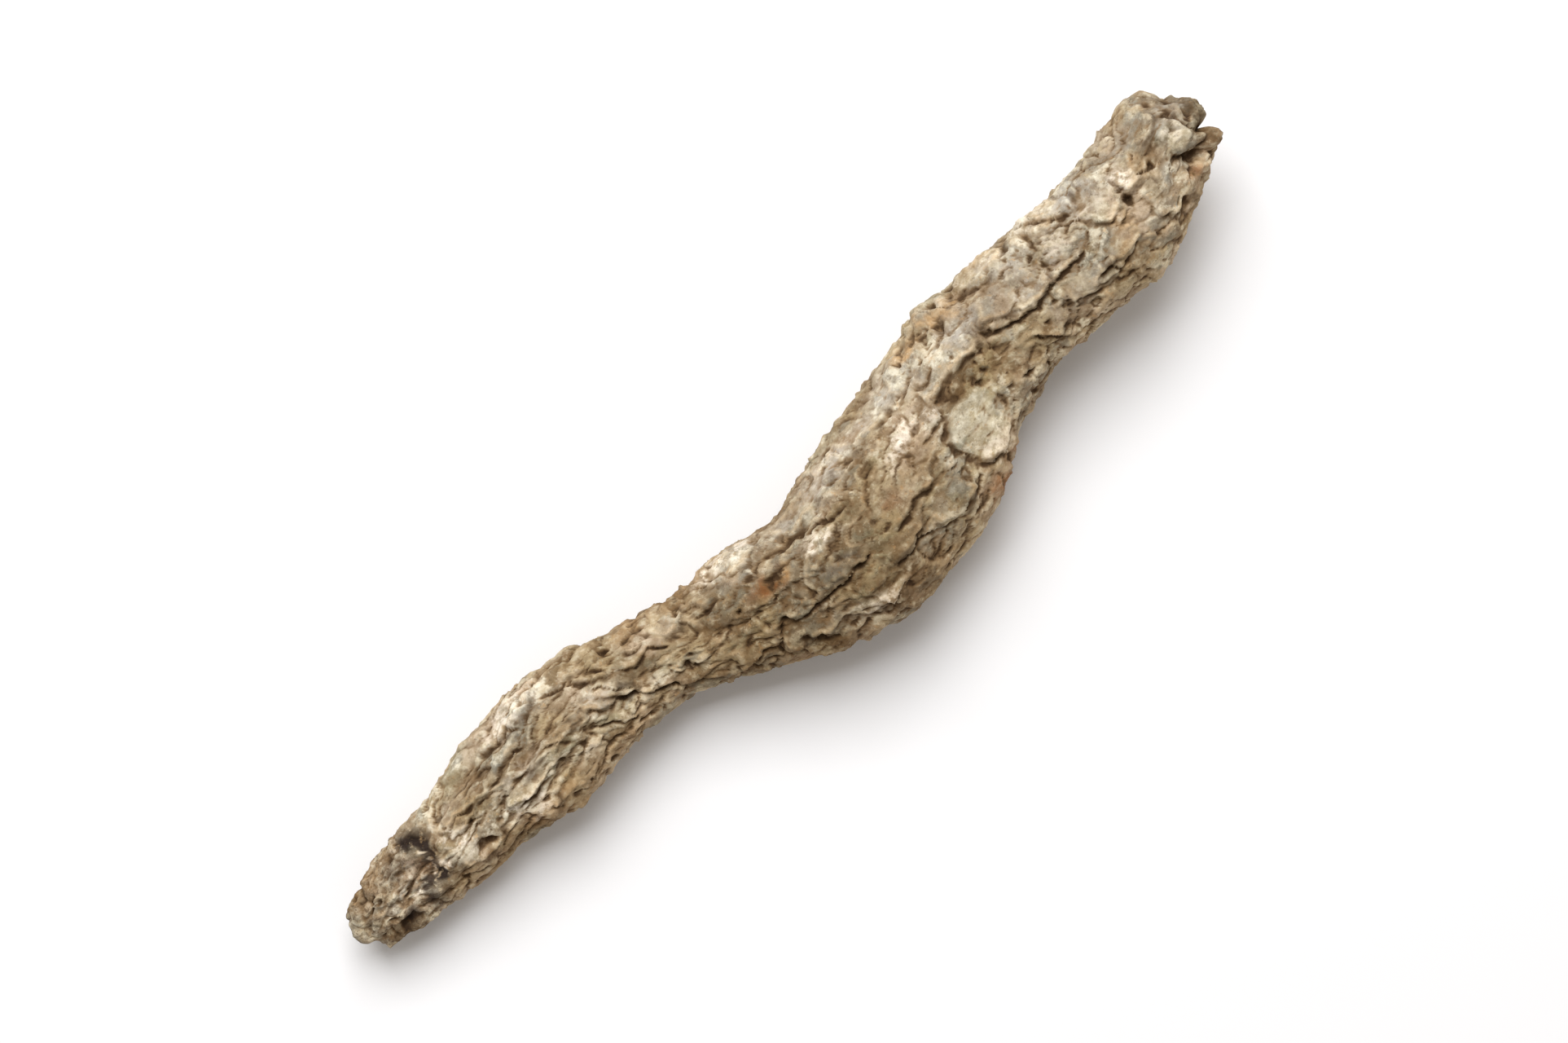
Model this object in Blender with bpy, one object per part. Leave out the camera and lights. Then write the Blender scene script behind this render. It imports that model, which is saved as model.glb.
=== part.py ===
"""A dried curculigo rhizome, one crooked and furrowed piece, lying on a flat surface.

+X runs along the root from its broken tip to its crown, and +Z is up. The origin lies on the
surface, under the middle of the root's box. Lengths here are in millimetres, and the mesh is
made in metres. Plan positions are measured from the chord that joins the two ends.
"""

import math
import random

import bpy
import numpy as np
from mathutils import noise

MM = 0.001

# The plan point that is under the middle of the root's box, where the origin goes.
MIDDLE_X = -0.07
MIDDLE_Y = -2.59

# The root's outline: x, its lowest and highest y in plan, and the lowest and highest z of that slice.
# It rests where the lowest z is below the surface: near the tip and under the swelling. Its crown
# end is lifted.
SLICES = (
    (-33.6, -1.5, 0.9, 1.6, 4.6),
    (-32.0, -2.9, 1.5, 0.9, 5.1),
    (-30.0, -3.0, 2.0, 0.5, 5.3),
    (-28.0, -3.3, 2.2, 0.0, 5.6),
    (-26.0, -3.5, 2.3, -0.3, 5.9),
    (-24.0, -3.4, 2.8, -0.3, 6.1),
    (-22.0, -3.6, 3.3, 0.0, 6.4),
    (-20.0, -4.1, 3.4, 0.4, 6.8),
    (-18.0, -4.1, 3.7, 0.7, 7.0),
    (-16.0, -3.7, 3.4, 0.8, 6.9),
    (-14.0, -3.6, 3.2, 0.8, 6.6),
    (-12.0, -3.7, 2.2, 0.7, 6.3),
    (-10.0, -4.0, 1.9, 0.6, 6.2),
    (-8.0, -4.9, 1.2, 0.5, 6.4),
    (-6.0, -5.9, 1.1, 0.4, 7.0),
    (-4.0, -6.9, 1.2, 0.3, 7.6),
    (-2.0, -8.0, 0.7, 0.2, 8.2),
    (0.0, -8.6, 0.3, 0.0, 8.7),
    (2.0, -9.2, 0.9, -0.2, 9.1),
    (4.0, -9.1, 1.4, -0.4, 9.3),
    (6.0, -8.8, 1.9, -0.4, 9.3),
    (8.0, -8.6, 2.2, -0.3, 9.2),
    (10.0, -7.9, 2.6, -0.3, 9.0),
    (12.0, -6.9, 2.9, -0.2, 8.8),
    (14.0, -5.5, 3.6, 0.5, 8.7),
    (16.0, -5.1, 3.3, 1.2, 8.7),
    (18.0, -4.3, 3.3, 1.5, 8.8),
    (20.0, -4.5, 3.2, 1.7, 9.0),
    (22.0, -4.5, 3.1, 1.8, 9.2),
    (24.0, -4.6, 3.0, 2.0, 9.4),
    (26.0, -4.8, 3.2, 2.3, 9.5),
    (28.0, -4.2, 3.4, 2.7, 9.6),
    (30.0, -3.1, 3.9, 3.1, 9.6),
    (31.4, -2.4, 4.1, 3.5, 9.4),
    (33.6, -1.7, 2.0, 4.2, 8.6),
)
TIP_X = SLICES[0][0]
CROWN_X = SLICES[-1][0]
TIP_ROUNDING = 3.0
CROWN_ROUNDING = 2.2
END_BLUNTNESS = 0.75

# The outline is averaged over this far each way for the smooth root, and for its true edge.
SMOOTH = 1.6
FINE = 0.5

RINGS = 118
RING_SIDES = 48

# The root's furrows wind round it from the tip to the middle, in radians for each millimetre, and
# there they are drawn out: what measures this much on the thick half is one long on the slim half.
TWIST = 0.07
DRAWN_OUT = 0.55

# The deepest creases of the upper side: depth, how far the skin on the left is lifted so that it
# laps over, then the plan points that each one runs through.
CREASE_WIDTH = 0.4
LAP = 1.3
CREASES = (
    (0.6, 0.3, ((-8.2, -4.8), (-6.2, -4.9), (-4.7, -5.2), (-3.7, -4.3), (-2.2, -5.1), (-0.3, -5.1),
                (2.3, -4.7), (3.2, -4.4))),
    (0.5, 0.2, ((-4.7, -5.2), (-4.3, -5.8), (-3.7, -6.7), (-3.0, -7.3), (-1.7, -8.0))),
    (0.5, 0.1, ((-3.2, -5.8), (-2.9, -6.3), (-2.3, -6.9), (-1.5, -7.3))),
    (0.5, 0.2, ((4.3, -4.7), (5.3, -4.6), (6.3, -4.7), (7.7, -4.5), (9.2, -4.6), (10.0, -4.3))),
    (0.5, 0.2, ((3.0, -6.3), (4.3, -6.0), (5.5, -6.2), (6.3, -6.7), (7.5, -7.0), (9.5, -7.2))),
    (0.4, 0.3, ((-0.8, -6.8), (0.6, -7.0), (1.6, -7.7), (2.6, -7.4), (3.6, -7.1))),
    (0.4, 0.3, ((0.7, -1.4), (1.7, -1.6), (2.8, -1.7), (4.0, -1.8))),
    (0.4, 0.2, ((11.0, -1.3), (12.0, -0.9), (13.2, -0.7), (14.7, -0.6), (15.7, -0.8))),
    (0.4, 0.1, ((11.8, -1.6), (12.8, -1.7), (14.0, -2.1), (15.0, -2.6))),
    (0.5, 0.3, ((10.8, -5.3), (11.5, -5.9), (12.3, -6.2), (13.3, -5.9))),
    (0.6, 0.4, ((15.8, 0.1), (16.5, -0.2), (17.3, -0.8), (18.1, -1.2), (19.0, -1.1), (20.7, -0.8),
                (22.4, -0.6), (23.4, -0.7))),
    (0.4, 0.3, ((21.3, 2.8), (22.2, 2.6), (23.2, 1.9), (23.8, 1.6), (24.7, 1.6))),
    (0.4, 0.3, ((24.7, 0.3), (25.0, -0.2), (25.7, -0.7), (26.1, -0.7), (26.8, -0.2), (27.2, 0.2))),
    (0.4, 0.3, ((27.8, -1.5), (28.5, -1.3), (29.3, -1.1), (29.9, -1.0))),
    (0.5, 0.3, ((30.2, -0.3), (31.0, -0.8), (31.5, -1.0), (32.3, -0.8), (32.9, -0.3))),
    (0.5, 0.2, ((22.8, -2.3), (23.7, -2.4), (24.0, -2.8), (25.0, -3.1), (26.0, -2.7))),
    (0.5, 0.2, ((17.4, -1.9), (18.2, -2.3), (19.0, -3.2), (20.0, -3.7), (21.0, -3.8), (22.3, -4.0))),
    (0.5, 0.2, ((15.0, -3.2), (16.5, -3.5), (17.7, -3.5), (18.0, -3.1))),
    (0.5, 0.2, ((-12.5, -1.3), (-11.7, -1.8), (-10.7, -2.7), (-9.7, -3.3), (-8.8, -3.8))),
    (0.5, 0.2, ((-13.2, 0.3), (-12.2, -0.2), (-11.0, -0.3), (-10.0, -0.4), (-9.2, -0.7))),
    (0.5, 0.2, ((-26.3, 1.0), (-25.7, 0.6), (-23.7, 0.2), (-22.8, 0.1), (-21.2, 0.8), (-19.2, 0.7))),
    (0.4, 0.3, ((-21.5, 2.2), (-20.5, 1.9), (-19.5, 1.9), (-18.7, 1.6), (-17.6, 1.9))),
    (0.4, 0.2, ((-22.3, -1.7), (-20.8, -1.8), (-18.3, -1.7), (-17.3, -2.2), (-15.2, -3.2), (-13.5, -3.3))),
    (0.5, 0.2, ((-27.2, -2.2), (-26.7, -2.8), (-25.7, -3.1), (-23.3, -3.0), (-20.7, -3.7))),
    (0.4, 0.2, ((-17.0, 2.2), (-15.8, 1.8), (-14.5, 1.6), (-13.5, 1.0), (-12.8, 0.4))),
    (0.5, 0.2, ((-28.0, 1.5), (-27.2, 0.9), (-27.3, 0.0), (-27.6, -1.0), (-28.3, -1.6), (-29.8, -1.6))),
)

# Knobs on the upper side: plan x and y, radius and height. A height below nothing is a hollow.
KNOBS = (
    (-33.3, -0.2, 0.9, 0.3),
    (-32.6, -1.5, 0.5, -0.4),
    (-32.0, -2.4, 0.9, 0.4),
    (-31.0, -2.2, 0.6, -0.6),
    (-30.6, 1.2, 1.3, 0.2),
    (-28.4, 0.2, 1.0, 0.3),
    (-24.8, -2.1, 0.6, -0.7),
    (-21.6, 3.0, 1.4, 0.3),
    (-19.2, -3.9, 2.0, 0.3),
    (-18.7, 2.5, 1.6, 0.4),
    (-8.6, 0.9, 1.4, 0.4),
    (-3.2, 0.4, 1.2, 0.4),
    (0.0, -4.1, 0.9, 0.2),
    (1.2, -7.2, 1.4, 0.3),
    (5.6, -1.1, 0.9, 0.2),
    (7.2, -3.8, 1.1, 0.3),
    (10.4, -1.5, 0.6, 0.3),
    (14.4, 3.0, 1.5, 0.7),
    (18.7, 3.0, 1.6, 0.3),
    (22.2, 0.8, 0.9, 0.4),
    (22.3, 2.9, 1.3, 0.4),
    (26.0, -4.5, 1.6, 0.3),
    (27.2, -0.5, 0.6, -0.6),
    (27.7, 0.7, 0.9, 0.3),
    (29.3, 0.3, 0.5, -0.5),
    (30.4, -2.2, 0.8, 0.4),
    (30.4, 3.6, 1.4, 0.3),
    (31.2, 0.4, 1.0, 0.5),
    (31.4, -1.3, 0.6, -0.8),
    (31.6, -1.9, 0.8, 0.5),
    (32.8, -1.1, 0.7, 0.6),
    (33.2, 1.2, 0.8, 0.5),
    (33.4, -0.1, 0.6, -0.9),
)

# Where a side root came away it left a flat, nearly round scar: its plan place, radius and height.
BRANCH_SCAR = (12.3, -3.8)
BRANCH_SCAR_RADIUS = 2.0
BRANCH_SCAR_RISE = 0.4

# Out of sight from above, this many knobs and as many scars are scattered by a seeded draw, and one
# more knob is what the root rests on beside its swelling: its x, turn in degrees, radius and height.
HIDDEN_KNOBS = 26
HIDDEN_SEED = 4
REST_KNOB = (11.0, 294.0, 1.8, 0.9)


def slice_at(x, blur):
    """Middle y, middle z, half width and half height of the root at each x, averaged over x +- blur."""
    table = np.array(SLICES)
    taps = np.linspace(-blur, blur, 5)
    y_low, y_high, z_low, z_high = (
        np.mean([np.interp(x + tap, table[:, 0], table[:, column]) for tap in taps], axis=0)
        for column in range(1, 5)
    )
    from_tip = np.clip((x - TIP_X) / TIP_ROUNDING, 0, 1)
    from_crown = np.clip((CROWN_X - x) / CROWN_ROUNDING, 0, 1)
    rounding = (1 - (1 - from_tip) ** 2) * (1 - (1 - from_crown) ** 2)
    openness = rounding ** (END_BLUNTNESS / 2)
    half_width = (y_high - y_low) / 2 * openness
    half_height = (z_high - z_low) / 2 * openness
    return (y_low + y_high) / 2, (z_low + z_high) / 2, half_width, half_height


def ring_places(rings):
    """Each ring's x, the rings being evenly spaced along the skin and over its rounded ends."""
    tip_arc = TIP_ROUNDING * math.pi / 2
    crown_arc = CROWN_ROUNDING * math.pi / 2
    barrel = CROWN_X - TIP_X - TIP_ROUNDING - CROWN_ROUNDING
    whole = tip_arc + barrel + crown_arc
    run = np.linspace(0, whole, rings + 2)[1:-1]
    tip_angle = np.minimum(run, tip_arc) / TIP_ROUNDING
    crown_angle = np.minimum(whole - run, crown_arc) / CROWN_ROUNDING
    x = TIP_X + TIP_ROUNDING * (1 - np.cos(tip_angle))
    return x + np.clip(run - tip_arc, 0, barrel) + CROWN_ROUNDING * np.cos(crown_angle)


def plain_root(rings, sides):
    """The smooth root as rings of points with a pole at each end, and its faces, turned outward."""
    x = ring_places(rings)
    mid_y, mid_z, half_width, half_height = slice_at(x, SMOOTH)
    turn = np.arange(sides) * 2 * math.pi / sides
    around_y = mid_y[:, None] + half_width[:, None] * np.cos(turn)
    around_z = mid_z[:, None] + half_height[:, None] * np.sin(turn)
    along_x = np.repeat(x[:, None], sides, axis=1)
    points = np.stack([along_x, around_y, around_z], axis=2).reshape(-1, 3)
    ends = np.array([TIP_X, CROWN_X])
    poles = np.stack([ends, *slice_at(ends, SMOOTH)[:2]], axis=1)
    tip_pole = rings * sides
    crown_pole = tip_pole + 1
    faces = []
    last = (rings - 1) * sides
    for side in range(sides):
        following = (side + 1) % sides
        faces.append((tip_pole, following, side))
        for here in range(0, last, sides):
            ahead = here + sides
            faces.append((here + side, here + following, ahead + following, ahead + side))
        faces.append((crown_pole, last + side, last + following))
    return np.concatenate([points, poles]), faces


def grain(points, size, seed):
    """Smooth noise, about -0.9 to 0.9, that varies over size millimetres along each axis."""
    scaled = (points / np.array(size) + seed * 7.31).tolist()
    return np.array([noise.noise(point) for point in scaled])


def warped(points, size, amount, seed):
    """The points pushed about by slow noise, so that what is read there doesn't run straight."""
    return points + amount * np.stack([grain(points, size, seed + k) for k in range(3)], axis=1)


def furrowed(values, dome, depth, width):
    """Rounded backs with a narrow groove between them wherever the noise crosses zero."""
    size = np.abs(values)
    return dome * np.minimum(size, 0.6) - depth * np.exp(-size / width)


def ease(x, low, high):
    """0 below low, 1 above high, and smooth between."""
    t = np.clip((x - low) / (high - low), 0, 1)
    return t * t * (3 - 2 * t)


def along_grain(points):
    """Straightened points with the root's slow twist taken out, and its drawn-out half drawn back in."""
    x, y, z = points.T
    angle = TWIST * np.minimum(x, 0.0)
    run = np.linspace(TIP_X - 5, CROWN_X + 5, 400)
    rate = DRAWN_OUT + (1 - DRAWN_OUT) * ease(run, -14, 14)
    drawn_back = np.interp(x, run, np.cumsum(rate) * (run[1] - run[0]))
    cosine = np.cos(angle)
    sine = np.sin(angle)
    return np.stack([drawn_back, y * cosine - z * sine, y * sine + z * cosine], axis=1)


def on_skin(x, turn):
    """The point of the smooth root's skin at x, turned round its middle line from +Y towards +Z."""
    mid_y, mid_z, half_width, half_height = slice_at(x, SMOOTH)
    return np.array([x, mid_y + half_width * math.cos(turn), mid_z + half_height * math.sin(turn)])


def on_upper_side(x, y):
    """The point of the smooth root's upper side over plan position x, y."""
    mid_y, _, half_width, _ = slice_at(x, SMOOTH)
    return on_skin(x, math.acos(min(max((y - mid_y) / half_width, -1.0), 1.0)))


def beside(points, outward, route):
    """How far each point is to the left of the route, and 1 along the route, fading at its ends."""
    nearest = np.full(len(points), np.inf)
    across = np.zeros(len(points))
    along = np.zeros(len(points))
    whole = 0.0
    for start, end in zip(route, route[1:]):
        step = end - start
        length = np.linalg.norm(step)
        t = np.clip((points - start) @ step / length**2, 0, 1)
        away = points - start - t[:, None] * step
        gap = np.linalg.norm(away, axis=1)
        left = np.sign((np.cross(outward, step) * away).sum(axis=1))
        closer = gap < nearest
        across = np.where(closer, left * gap, across)
        along = np.where(closer, whole + t * length, along)
        nearest = np.minimum(nearest, gap)
        whole += length
    return across, ease(along, 0, 0.6) * ease(whole - along, 0, 0.6)


def hidden_knobs():
    """The knob that the root rests on, and others scattered over its flanks, underside and ends."""
    x, turn, radius, rise = REST_KNOB
    knobs = [(on_skin(x, math.radians(turn)), radius, rise)]
    draw = random.Random(HIDDEN_SEED)
    for _ in range(HIDDEN_KNOBS):
        centre = on_skin(draw.uniform(TIP_X + 0.3, CROWN_X - 0.1), math.radians(draw.uniform(170, 370)))
        knobs.append((centre, draw.uniform(0.7, 1.5), draw.uniform(0.2, 0.6)))
        centre = on_skin(draw.uniform(TIP_X + 0.3, CROWN_X - 0.1), math.radians(draw.uniform(175, 365)))
        knobs.append((centre, draw.uniform(0.5, 0.8), draw.uniform(-0.7, -0.4)))
    return knobs


def relief(points, outward):
    """How far the skin stands out from the smooth root at each point, in millimetres."""
    mid_y, mid_z, _, _ = slice_at(points[:, 0], SMOOTH)
    straight = points - np.stack([np.zeros(len(points)), mid_y, mid_z], axis=1)
    towards_crown = ease(points[:, 0], -14, 14)
    height = 0.38 * grain(straight, (6.5, 4.2, 4.2), 3) + 0.20 * grain(straight, (3.2, 2.6, 2.6), 5)
    grained = along_grain(straight)
    wavy = warped(grained, (4.0, 3.2, 3.2), 1.2, 11)
    height += (1 - 0.35 * towards_crown) * furrowed(grain(wavy, (3.6, 1.6, 1.6), 21), 0.34, 0.35, 0.10)
    wavy = warped(grained, (2.6, 1.8, 1.8), 0.6, 15)
    height += (0.6 + 0.4 * towards_crown) * furrowed(grain(wavy, (2.4, 1.5, 1.5), 31), 0.20, 0.25, 0.10)
    ragged = warped(points, (0.9, 0.9, 0.9), 0.22, 81)
    bumps = [(on_upper_side(x, y), radius, rise) for x, y, radius, rise in KNOBS]
    for centre, radius, rise in bumps + hidden_knobs():
        gap = np.linalg.norm(ragged - centre, axis=1)
        height += rise * np.exp(-((gap / radius) ** 3))
    from_scar = np.linalg.norm(ragged - on_upper_side(*BRANCH_SCAR), axis=1)
    within_scar = 1 - ease(from_scar, BRANCH_SCAR_RADIUS - 0.5, BRANCH_SCAR_RADIUS)
    height += within_scar * (BRANCH_SCAR_RISE - height)
    for depth, lift, plan_points in CREASES:
        across, fade = beside(ragged, outward, [on_upper_side(x, y) for x, y in plan_points])
        height += fade * lift * ease(across, -0.2, 0.3) * np.exp(-np.abs(across) / LAP)
        height -= fade * depth * np.exp(-((across / CREASE_WIDTH) ** 2))
    return height


def trued(points, rings, sides):
    """The points with each ring stretched to the outline's width and height, away from the ends."""
    rows = points[: rings * sides].reshape(rings, sides, 3).copy()
    x = ring_places(rings)
    mid_y, mid_z, half_width, half_height = slice_at(x, FINE)
    hold = ease(x, TIP_X + 0.4, TIP_X + 1.6) * ease(-x, -CROWN_X + 0.4, -CROWN_X + 1.6)
    reach = max(1, round(rings * 0.7 / (CROWN_X - TIP_X)))
    near = np.arange(rings)[:, None] + np.arange(-reach, reach + 1)
    near = np.clip(near, 0, rings - 1)
    for axis, middle, half in ((1, mid_y, half_width), (2, mid_z, half_height)):
        low = rows[:, :, axis].min(axis=1)[near].mean(axis=1)
        high = rows[:, :, axis].max(axis=1)[near].mean(axis=1)
        stretch = 2 * half / (high - low)
        aimed = middle[:, None] + (rows[:, :, axis] - ((low + high) / 2)[:, None]) * stretch[:, None]
        rows[:, :, axis] += hold[:, None] * (aimed - rows[:, :, axis])
    return np.concatenate([rows.reshape(-1, 3), points[rings * sides:]])


def skin_mesh(name, rings, sides):
    """The root's mesh, in metres, with its underside flattened where it meets the surface."""
    points, faces = plain_root(rings, sides)
    mesh = bpy.data.meshes.new(name)
    mesh.from_pydata(points.tolist(), [], faces)
    normals = np.array([vertex.normal[:] for vertex in mesh.vertices])
    points = trued(points + normals * relief(points, normals)[:, None], rings, sides)
    points -= (MIDDLE_X, MIDDLE_Y, 0)
    points[:, 2] = np.maximum(points[:, 2], 0)
    mesh.vertices.foreach_set("co", (points * MM).ravel())
    mesh.update()
    mesh.shade_smooth()
    return mesh


def root_material():
    material = bpy.data.materials.new("dried_root")
    material.use_nodes = True
    shader = material.node_tree.nodes["Principled BSDF"]
    shader.inputs["Base Color"].default_value = (0.30, 0.24, 0.16, 1)
    shader.inputs["Roughness"].default_value = 0.9
    shader.inputs["Metallic"].default_value = 0
    return material


def main():
    for existing in list(bpy.data.objects):
        bpy.data.objects.remove(existing)
    root = bpy.data.objects.new("curculigo_root", skin_mesh("curculigo_root", RINGS, RING_SIDES))
    root.data.materials.append(root_material())
    bpy.context.scene.collection.objects.link(root)


main()
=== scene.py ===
"""A dried curculigo rhizome lying on a pale board, seen from straight above."""

import math
import random

import bpy
import numpy as np
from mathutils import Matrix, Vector, noise


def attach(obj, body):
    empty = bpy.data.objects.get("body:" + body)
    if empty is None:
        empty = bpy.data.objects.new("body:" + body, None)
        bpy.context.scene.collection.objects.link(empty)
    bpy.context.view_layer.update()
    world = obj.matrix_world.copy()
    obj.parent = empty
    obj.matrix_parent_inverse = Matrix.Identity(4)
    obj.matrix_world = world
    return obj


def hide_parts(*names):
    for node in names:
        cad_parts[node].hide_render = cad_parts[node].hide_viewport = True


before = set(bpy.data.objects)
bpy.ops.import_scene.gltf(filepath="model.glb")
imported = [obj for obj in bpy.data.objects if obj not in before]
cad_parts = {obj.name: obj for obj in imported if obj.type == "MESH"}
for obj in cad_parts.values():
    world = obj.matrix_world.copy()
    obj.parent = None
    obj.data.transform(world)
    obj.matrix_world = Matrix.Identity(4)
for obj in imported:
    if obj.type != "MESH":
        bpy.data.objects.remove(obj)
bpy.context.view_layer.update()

# The root's body: one dried underground stem, bent twice and swollen in the middle, with a broken
# tip and a blunt crown. It grew as one piece, so it is one closed skin of rings from tip to crown.
# Lengths are in millimetres, and plan positions are measured from the chord between the two ends.
MM = 0.001
# Slices through the root: x, its lowest and highest y, and its lowest and highest z.
SLICES = (
    (-33.6, -1.5, 0.9, 1.6, 4.6),
    (-32.0, -2.9, 1.5, 0.9, 5.1),
    (-30.0, -3.0, 2.0, 0.5, 5.3),
    (-28.0, -3.3, 2.2, 0.0, 5.6),
    (-26.0, -3.5, 2.3, -0.3, 5.9),
    (-24.0, -3.4, 2.8, -0.3, 6.1),
    (-22.0, -3.6, 3.3, 0.0, 6.4),
    (-20.0, -4.1, 3.4, 0.4, 6.8),
    (-18.0, -4.1, 3.7, 0.7, 7.0),
    (-16.0, -3.7, 3.4, 0.8, 6.9),
    (-14.0, -3.6, 3.2, 0.8, 6.6),
    (-12.0, -3.7, 2.2, 0.7, 6.3),
    (-10.0, -4.0, 1.9, 0.6, 6.2),
    (-8.0, -4.9, 1.2, 0.5, 6.4),
    (-6.0, -5.9, 1.1, 0.4, 7.0),
    (-4.0, -6.9, 1.2, 0.3, 7.6),
    (-2.0, -8.0, 0.7, 0.2, 8.2),
    (0.0, -8.6, 0.3, 0.0, 8.7),
    (2.0, -9.2, 0.9, -0.2, 9.1),
    (4.0, -9.1, 1.4, -0.4, 9.3),
    (6.0, -8.8, 1.9, -0.4, 9.3),
    (8.0, -8.6, 2.2, -0.3, 9.2),
    (10.0, -7.9, 2.6, -0.3, 9.0),
    (12.0, -6.9, 2.9, -0.2, 8.8),
    (14.0, -5.5, 3.6, 0.5, 8.7),
    (16.0, -5.1, 3.3, 1.2, 8.7),
    (18.0, -4.3, 3.3, 1.5, 8.8),
    (20.0, -4.5, 3.2, 1.7, 9.0),
    (22.0, -4.5, 3.1, 1.8, 9.2),
    (24.0, -4.6, 3.0, 2.0, 9.4),
    (26.0, -4.8, 3.2, 2.3, 9.5),
    (28.0, -4.2, 3.4, 2.7, 9.6),
    (30.0, -3.1, 3.9, 3.1, 9.6),
    (31.4, -2.4, 4.1, 3.5, 9.4),
    (33.6, -1.7, 2.0, 4.2, 8.6),
)
TIP_X = SLICES[0][0]
CROWN_X = SLICES[-1][0]
TIP_ROUNDING = 3.0
CROWN_ROUNDING = 2.2
END_BLUNTNESS = 0.75
# How far either way the slices are averaged, and from how many samples.
SMOOTH = 1.6
SAMPLES = 5
# Rings along the skin, points round each, and how much closer together they lie on its upper side.
RINGS = 536
RING_SIDES = 186
TOP_DENSITY = 0.35


def slice_at(x, blur):
    """Middle y, middle z, half width and half height of the root at each x, averaged over x +- blur."""
    table = np.array(SLICES)
    taps = np.linspace(-blur, blur, SAMPLES)
    y_low, y_high, z_low, z_high = (
        np.mean([np.interp(x + tap, table[:, 0], table[:, column]) for tap in taps], axis=0)
        for column in range(1, 5)
    )
    from_tip = np.clip((x - TIP_X) / TIP_ROUNDING, 0, 1)
    from_crown = np.clip((CROWN_X - x) / CROWN_ROUNDING, 0, 1)
    rounding = (1 - (1 - from_tip) ** 2) * (1 - (1 - from_crown) ** 2)
    openness = rounding ** (END_BLUNTNESS / 2)
    half_width = (y_high - y_low) / 2 * openness
    half_height = (z_high - z_low) / 2 * openness
    return (y_low + y_high) / 2, (z_low + z_high) / 2, half_width, half_height


def ring_places(rings):
    """Each ring's x, the rings being evenly spaced along the skin and over its rounded ends."""
    tip_arc = TIP_ROUNDING * math.pi / 2
    crown_arc = CROWN_ROUNDING * math.pi / 2
    barrel = CROWN_X - TIP_X - TIP_ROUNDING - CROWN_ROUNDING
    whole = tip_arc + barrel + crown_arc
    run = np.linspace(0, whole, rings + 2)[1:-1]
    tip_angle = np.minimum(run, tip_arc) / TIP_ROUNDING
    crown_angle = np.minimum(whole - run, crown_arc) / CROWN_ROUNDING
    x = TIP_X + TIP_ROUNDING * (1 - np.cos(tip_angle))
    return x + np.clip(run - tip_arc, 0, barrel) + CROWN_ROUNDING * np.cos(crown_angle)


def plain_root(rings, sides):
    """The smooth root as rings of points with a pole at each end, and its faces, turned outward."""
    x = ring_places(rings)
    mid_y, mid_z, half_width, half_height = slice_at(x, SMOOTH)
    even = np.arange(sides) * 2 * math.pi / sides
    turn = even + TOP_DENSITY * np.cos(even)
    around_y = mid_y[:, None] + half_width[:, None] * np.cos(turn)
    around_z = mid_z[:, None] + half_height[:, None] * np.sin(turn)
    along_x = np.repeat(x[:, None], sides, axis=1)
    points = np.stack([along_x, around_y, around_z], axis=2).reshape(-1, 3)
    ends = np.array([TIP_X, CROWN_X])
    poles = np.stack([ends, *slice_at(ends, SMOOTH)[:2]], axis=1)
    tip_pole = rings * sides
    crown_pole = tip_pole + 1
    faces = []
    last = (rings - 1) * sides
    for side in range(sides):
        following = (side + 1) % sides
        faces.append((tip_pole, following, side))
        for here in range(0, last, sides):
            ahead = here + sides
            faces.append((here + side, here + following, ahead + following, ahead + side))
        faces.append((crown_pole, last + side, last + following))
    return np.concatenate([points, poles]), faces


def on_skin(x, turn):
    """The point of the smooth root's skin at x, turned round its middle line from +Y towards +Z."""
    mid_y, mid_z, half_width, half_height = slice_at(x, SMOOTH)
    return np.array([x, mid_y + half_width * math.cos(turn), mid_z + half_height * math.sin(turn)])


def on_upper_side(x, y):
    """The point of the smooth root's upper side over plan position x, y."""
    mid_y, _, half_width, _ = slice_at(x, SMOOTH)
    return on_skin(x, math.acos(min(max((y - mid_y) / half_width, -1.0), 1.0)))


smooth_skin, skin_faces = plain_root(RINGS, RING_SIDES)
root_mesh = bpy.data.meshes.new("root_skin")
root_mesh.from_pydata(smooth_skin.tolist(), [], skin_faces)
outward = np.array([vertex.normal[:] for vertex in root_mesh.vertices])
middle_y, middle_z, _, half_heights = slice_at(smooth_skin[:, 0], SMOOTH)
straight = smooth_skin - np.stack([np.zeros(len(smooth_skin)), middle_y, middle_z], axis=1)

# The form of the skin: it shrank as it dried, into long furrows that wind round the slim half and
# shorter ones between knuckles on the thick half, with creases where its crust broke and laps over.
# The furrows' twist is in radians a millimetre, and only those of the slim half are drawn out.
TWIST = 0.07
DRAWN_OUT = 0.55
SLIM_TO = -14
THICK_FROM = 14
END_MARGIN = 5
RUN_STEPS = 400
# Under 1 this draws the furrows out down the flanks, where they would else crowd into thin stripes.
DOWN_THE_SIDES = 0.5
BACK_WIDTH = 0.6
SEED_STEP = 7.31
CREASE_WIDTH = 0.17
CREASE_FADE = 0.6
DEEP_CREASE = 0.4
LAP = 1.3
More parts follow.
